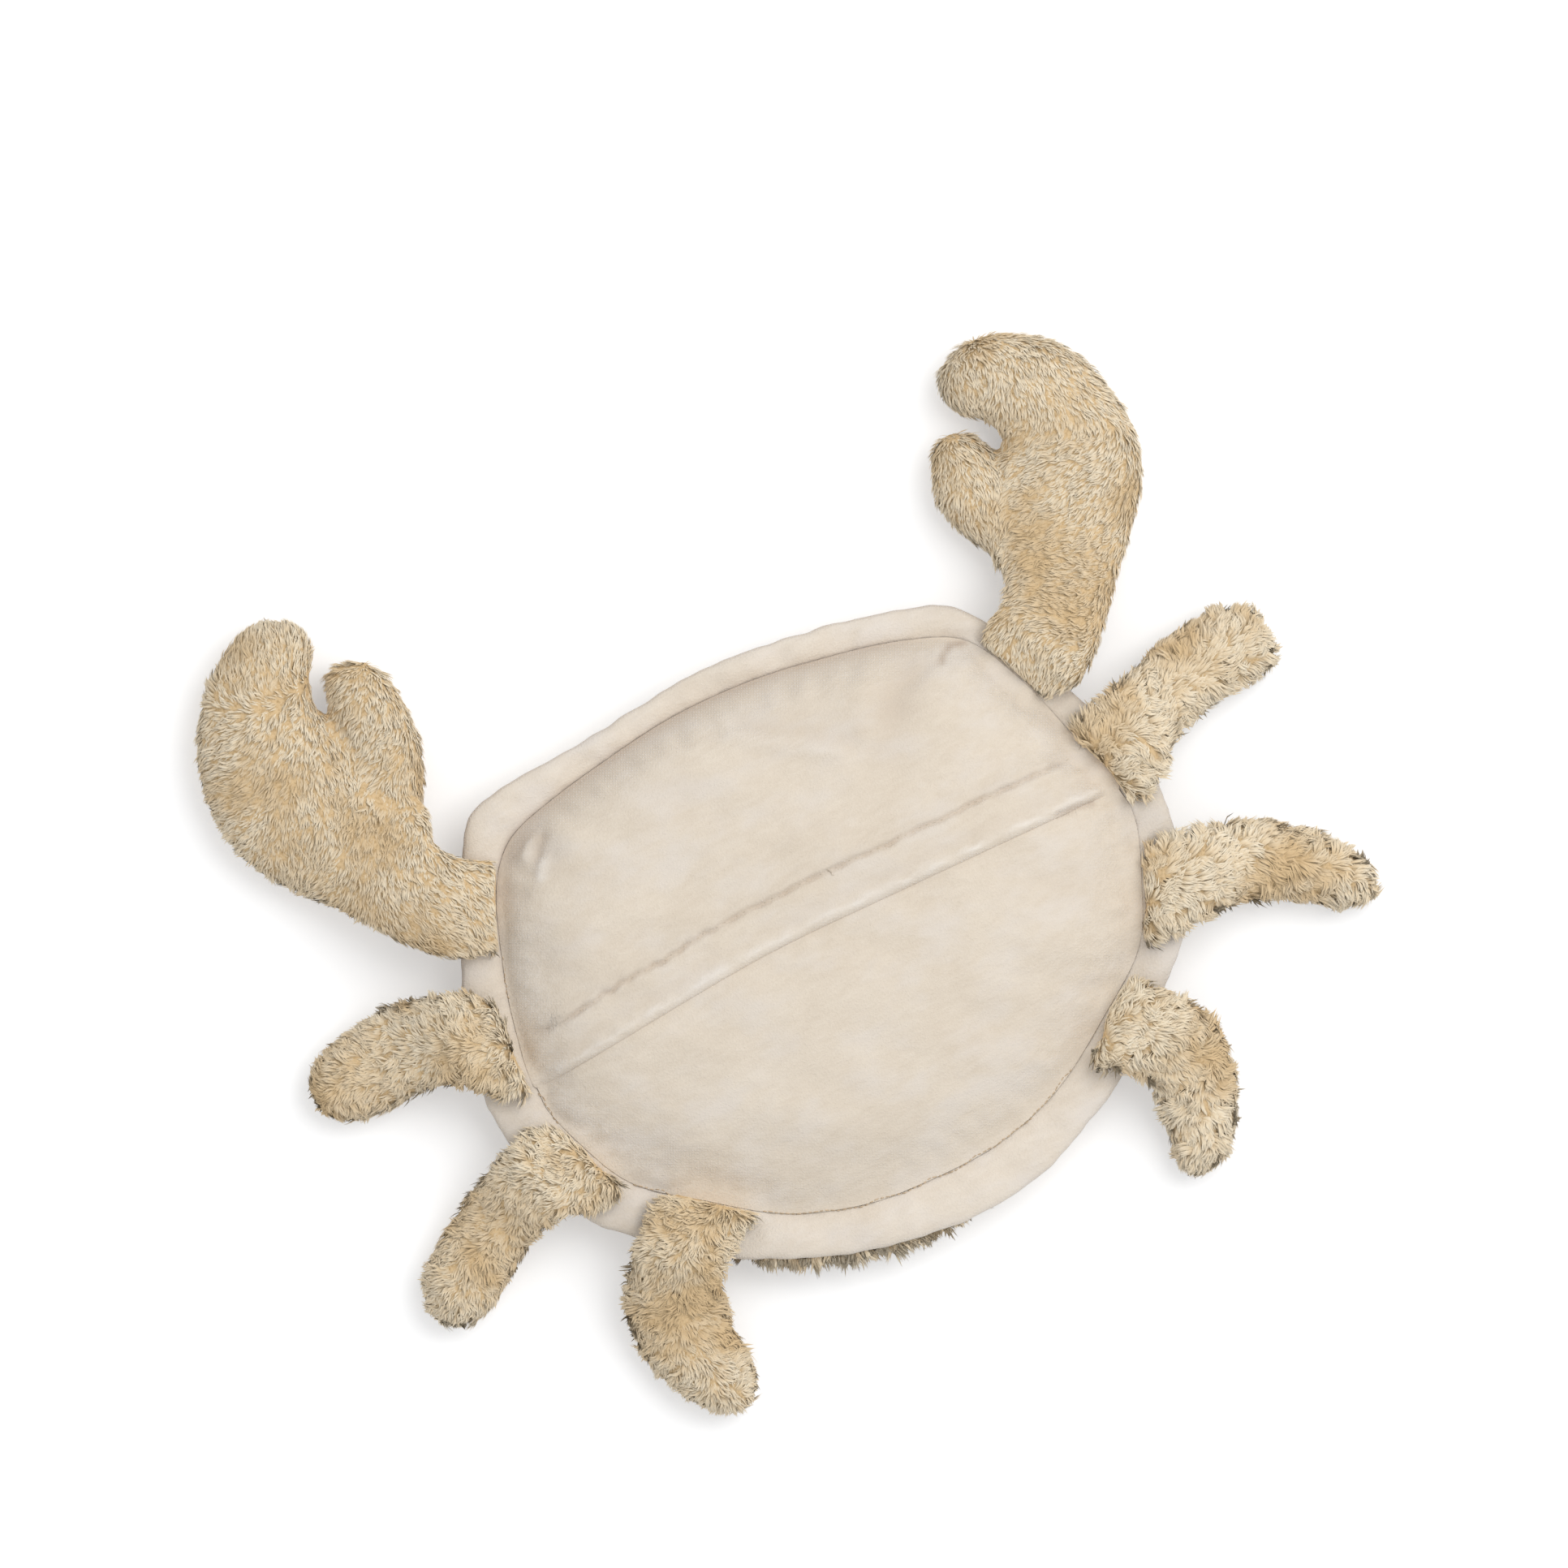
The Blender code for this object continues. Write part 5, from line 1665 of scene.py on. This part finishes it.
class CRAB_OT_stage(bpy.types.Operator):
    """Sets up the floor, the lamp, the sky and the camera"""

    bl_idname = "crab.stage"
    bl_label = "Stage"

    def execute(self, context):
        settings = context.scene.crab_stage
        scene = context.scene
        scene.view_settings.view_transform = "Standard"
        corners = np.array([(-1, -1, 0), (1, -1, 0), (1, 1, 0), (-1, 1, 0)]) * FLOOR_HALF
        mesh = build_mesh("floor", corners, np.array([[0, 1, 2, 3]]))
        floor = bpy.data.objects.new("floor", mesh)
        floor.location.z = -0.0001
        scene.collection.objects.link(floor)
        finish = Finish("floor", 1.0)
        finish.set("Specular IOR Level", 0.0)
        finish.set("Base Color", FLOOR_COLOUR)
        inputs = {"Color": (1, 1, 1), "Strength": finish.seen() * FLOOR_GLOW}
        glow = finish.node("ShaderNodeEmission", inputs=inputs)
        plain = Value(finish, finish.shader.outputs[0])
        added = finish.node("ShaderNodeAddShader", inputs={0: plain, 1: glow})
        finish.give(finish.tree.nodes["Material Output"].inputs["Surface"], added)
        mesh.materials.append(finish.material)
        self.sky(scene, settings)
        self.lamp(scene, settings)
        self.camera(scene, settings)
        return {"FINISHED"}

    def sky(self, scene, settings):
        """White where the camera sees it, and a soft cool light on the crab."""
        world = bpy.data.worlds.new("sky")
        world.use_nodes = True
        world.node_tree.nodes.clear()
        nodes = Nodes(world.node_tree)
        inputs = {"Color": SKY_COLOUR, "Strength": settings.sky}
        soft = nodes.node("ShaderNodeBackground", inputs=inputs)
        plain = nodes.node("ShaderNodeBackground", inputs={"Color": (1, 1, 1)})
        both = nodes.node("ShaderNodeMixShader", inputs={0: nodes.seen(), 1: soft, 2: plain})
        nodes.node("ShaderNodeOutputWorld", inputs={"Surface": both}, output=())
        scene.world = world

    def lamp(self, scene, settings):
        """A large soft lamp, high over the crab's right side."""
        lamp = bpy.data.lights.new("key", "AREA")
        lamp.energy = settings.key_power
        lamp.size = settings.key_size
        lamp.color = KEY_COLOUR
        thing = bpy.data.objects.new("key", lamp)
        flat = KEY_DISTANCE * math.cos(KEY_RISE)
        place = Vector((flat * KEY_WAY[0], flat * KEY_WAY[1], KEY_DISTANCE * math.sin(KEY_RISE)))
        thing.location = place
        thing.rotation_euler = (-place).to_track_quat("-Z", "Y").to_euler()
        scene.collection.objects.link(thing)

    def camera(self, scene, settings):
        """Straight above the crab, turned so that its front points up and to the right."""
        lens = bpy.data.cameras.new("camera")
        lens.type = "ORTHO"
        lens.ortho_scale = settings.view_width
        lens.clip_end = 10
        camera = bpy.data.objects.new("camera", lens)
        camera.location = (*VIEW_MIDDLE, VIEW_HEIGHT)
        camera.rotation_euler = (0, 0, VIEW_TURN)
        scene.collection.objects.link(camera)
        scene.camera = camera


class CRAB_PT_panel(bpy.types.Panel):
    """Lists the operators and the settings in the sidebar"""

    bl_label = "Crab"
    bl_idname = "CRAB_PT_panel"
    bl_space_type = "VIEW_3D"
    bl_region_type = "UI"
    bl_category = "Crab"

    def draw(self, context):
        for operator in OPERATORS:
            self.layout.operator(operator.bl_idname)
        for group in (context.scene.crab_plush, context.scene.crab_velour, context.scene.crab_stage):
            box = self.layout.box()
            for name in group.__annotations__:
                box.prop(group, name)


GROUPS = {"crab_plush": CRAB_PG_plush, "crab_velour": CRAB_PG_velour, "crab_stage": CRAB_PG_stage}
OPERATORS = (
    CRAB_OT_stage, CRAB_OT_shell, CRAB_OT_rim, CRAB_OT_belly, CRAB_OT_stitches, CRAB_OT_inside, CRAB_OT_claws,
    CRAB_OT_legs,
)


def register():
    """Adds the settings, the operators and the panel."""
    for group in (*GROUPS.values(), *OPERATORS, CRAB_PT_panel):
        bpy.utils.register_class(group)
    for name, group in GROUPS.items():
        setattr(bpy.types.Scene, name, PointerProperty(type=group))


def unregister():
    """Takes the settings, the operators and the panel away."""
    for name in GROUPS:
        delattr(bpy.types.Scene, name)
    for group in reversed((*GROUPS.values(), *OPERATORS, CRAB_PT_panel)):
        bpy.utils.unregister_class(group)


def main():
    """Makes every piece in order."""
    register()
    for operator in OPERATORS:
        group, name = operator.bl_idname.split(".")
        getattr(getattr(bpy.ops, group), name)()


if __name__ == "__main__":
    main()
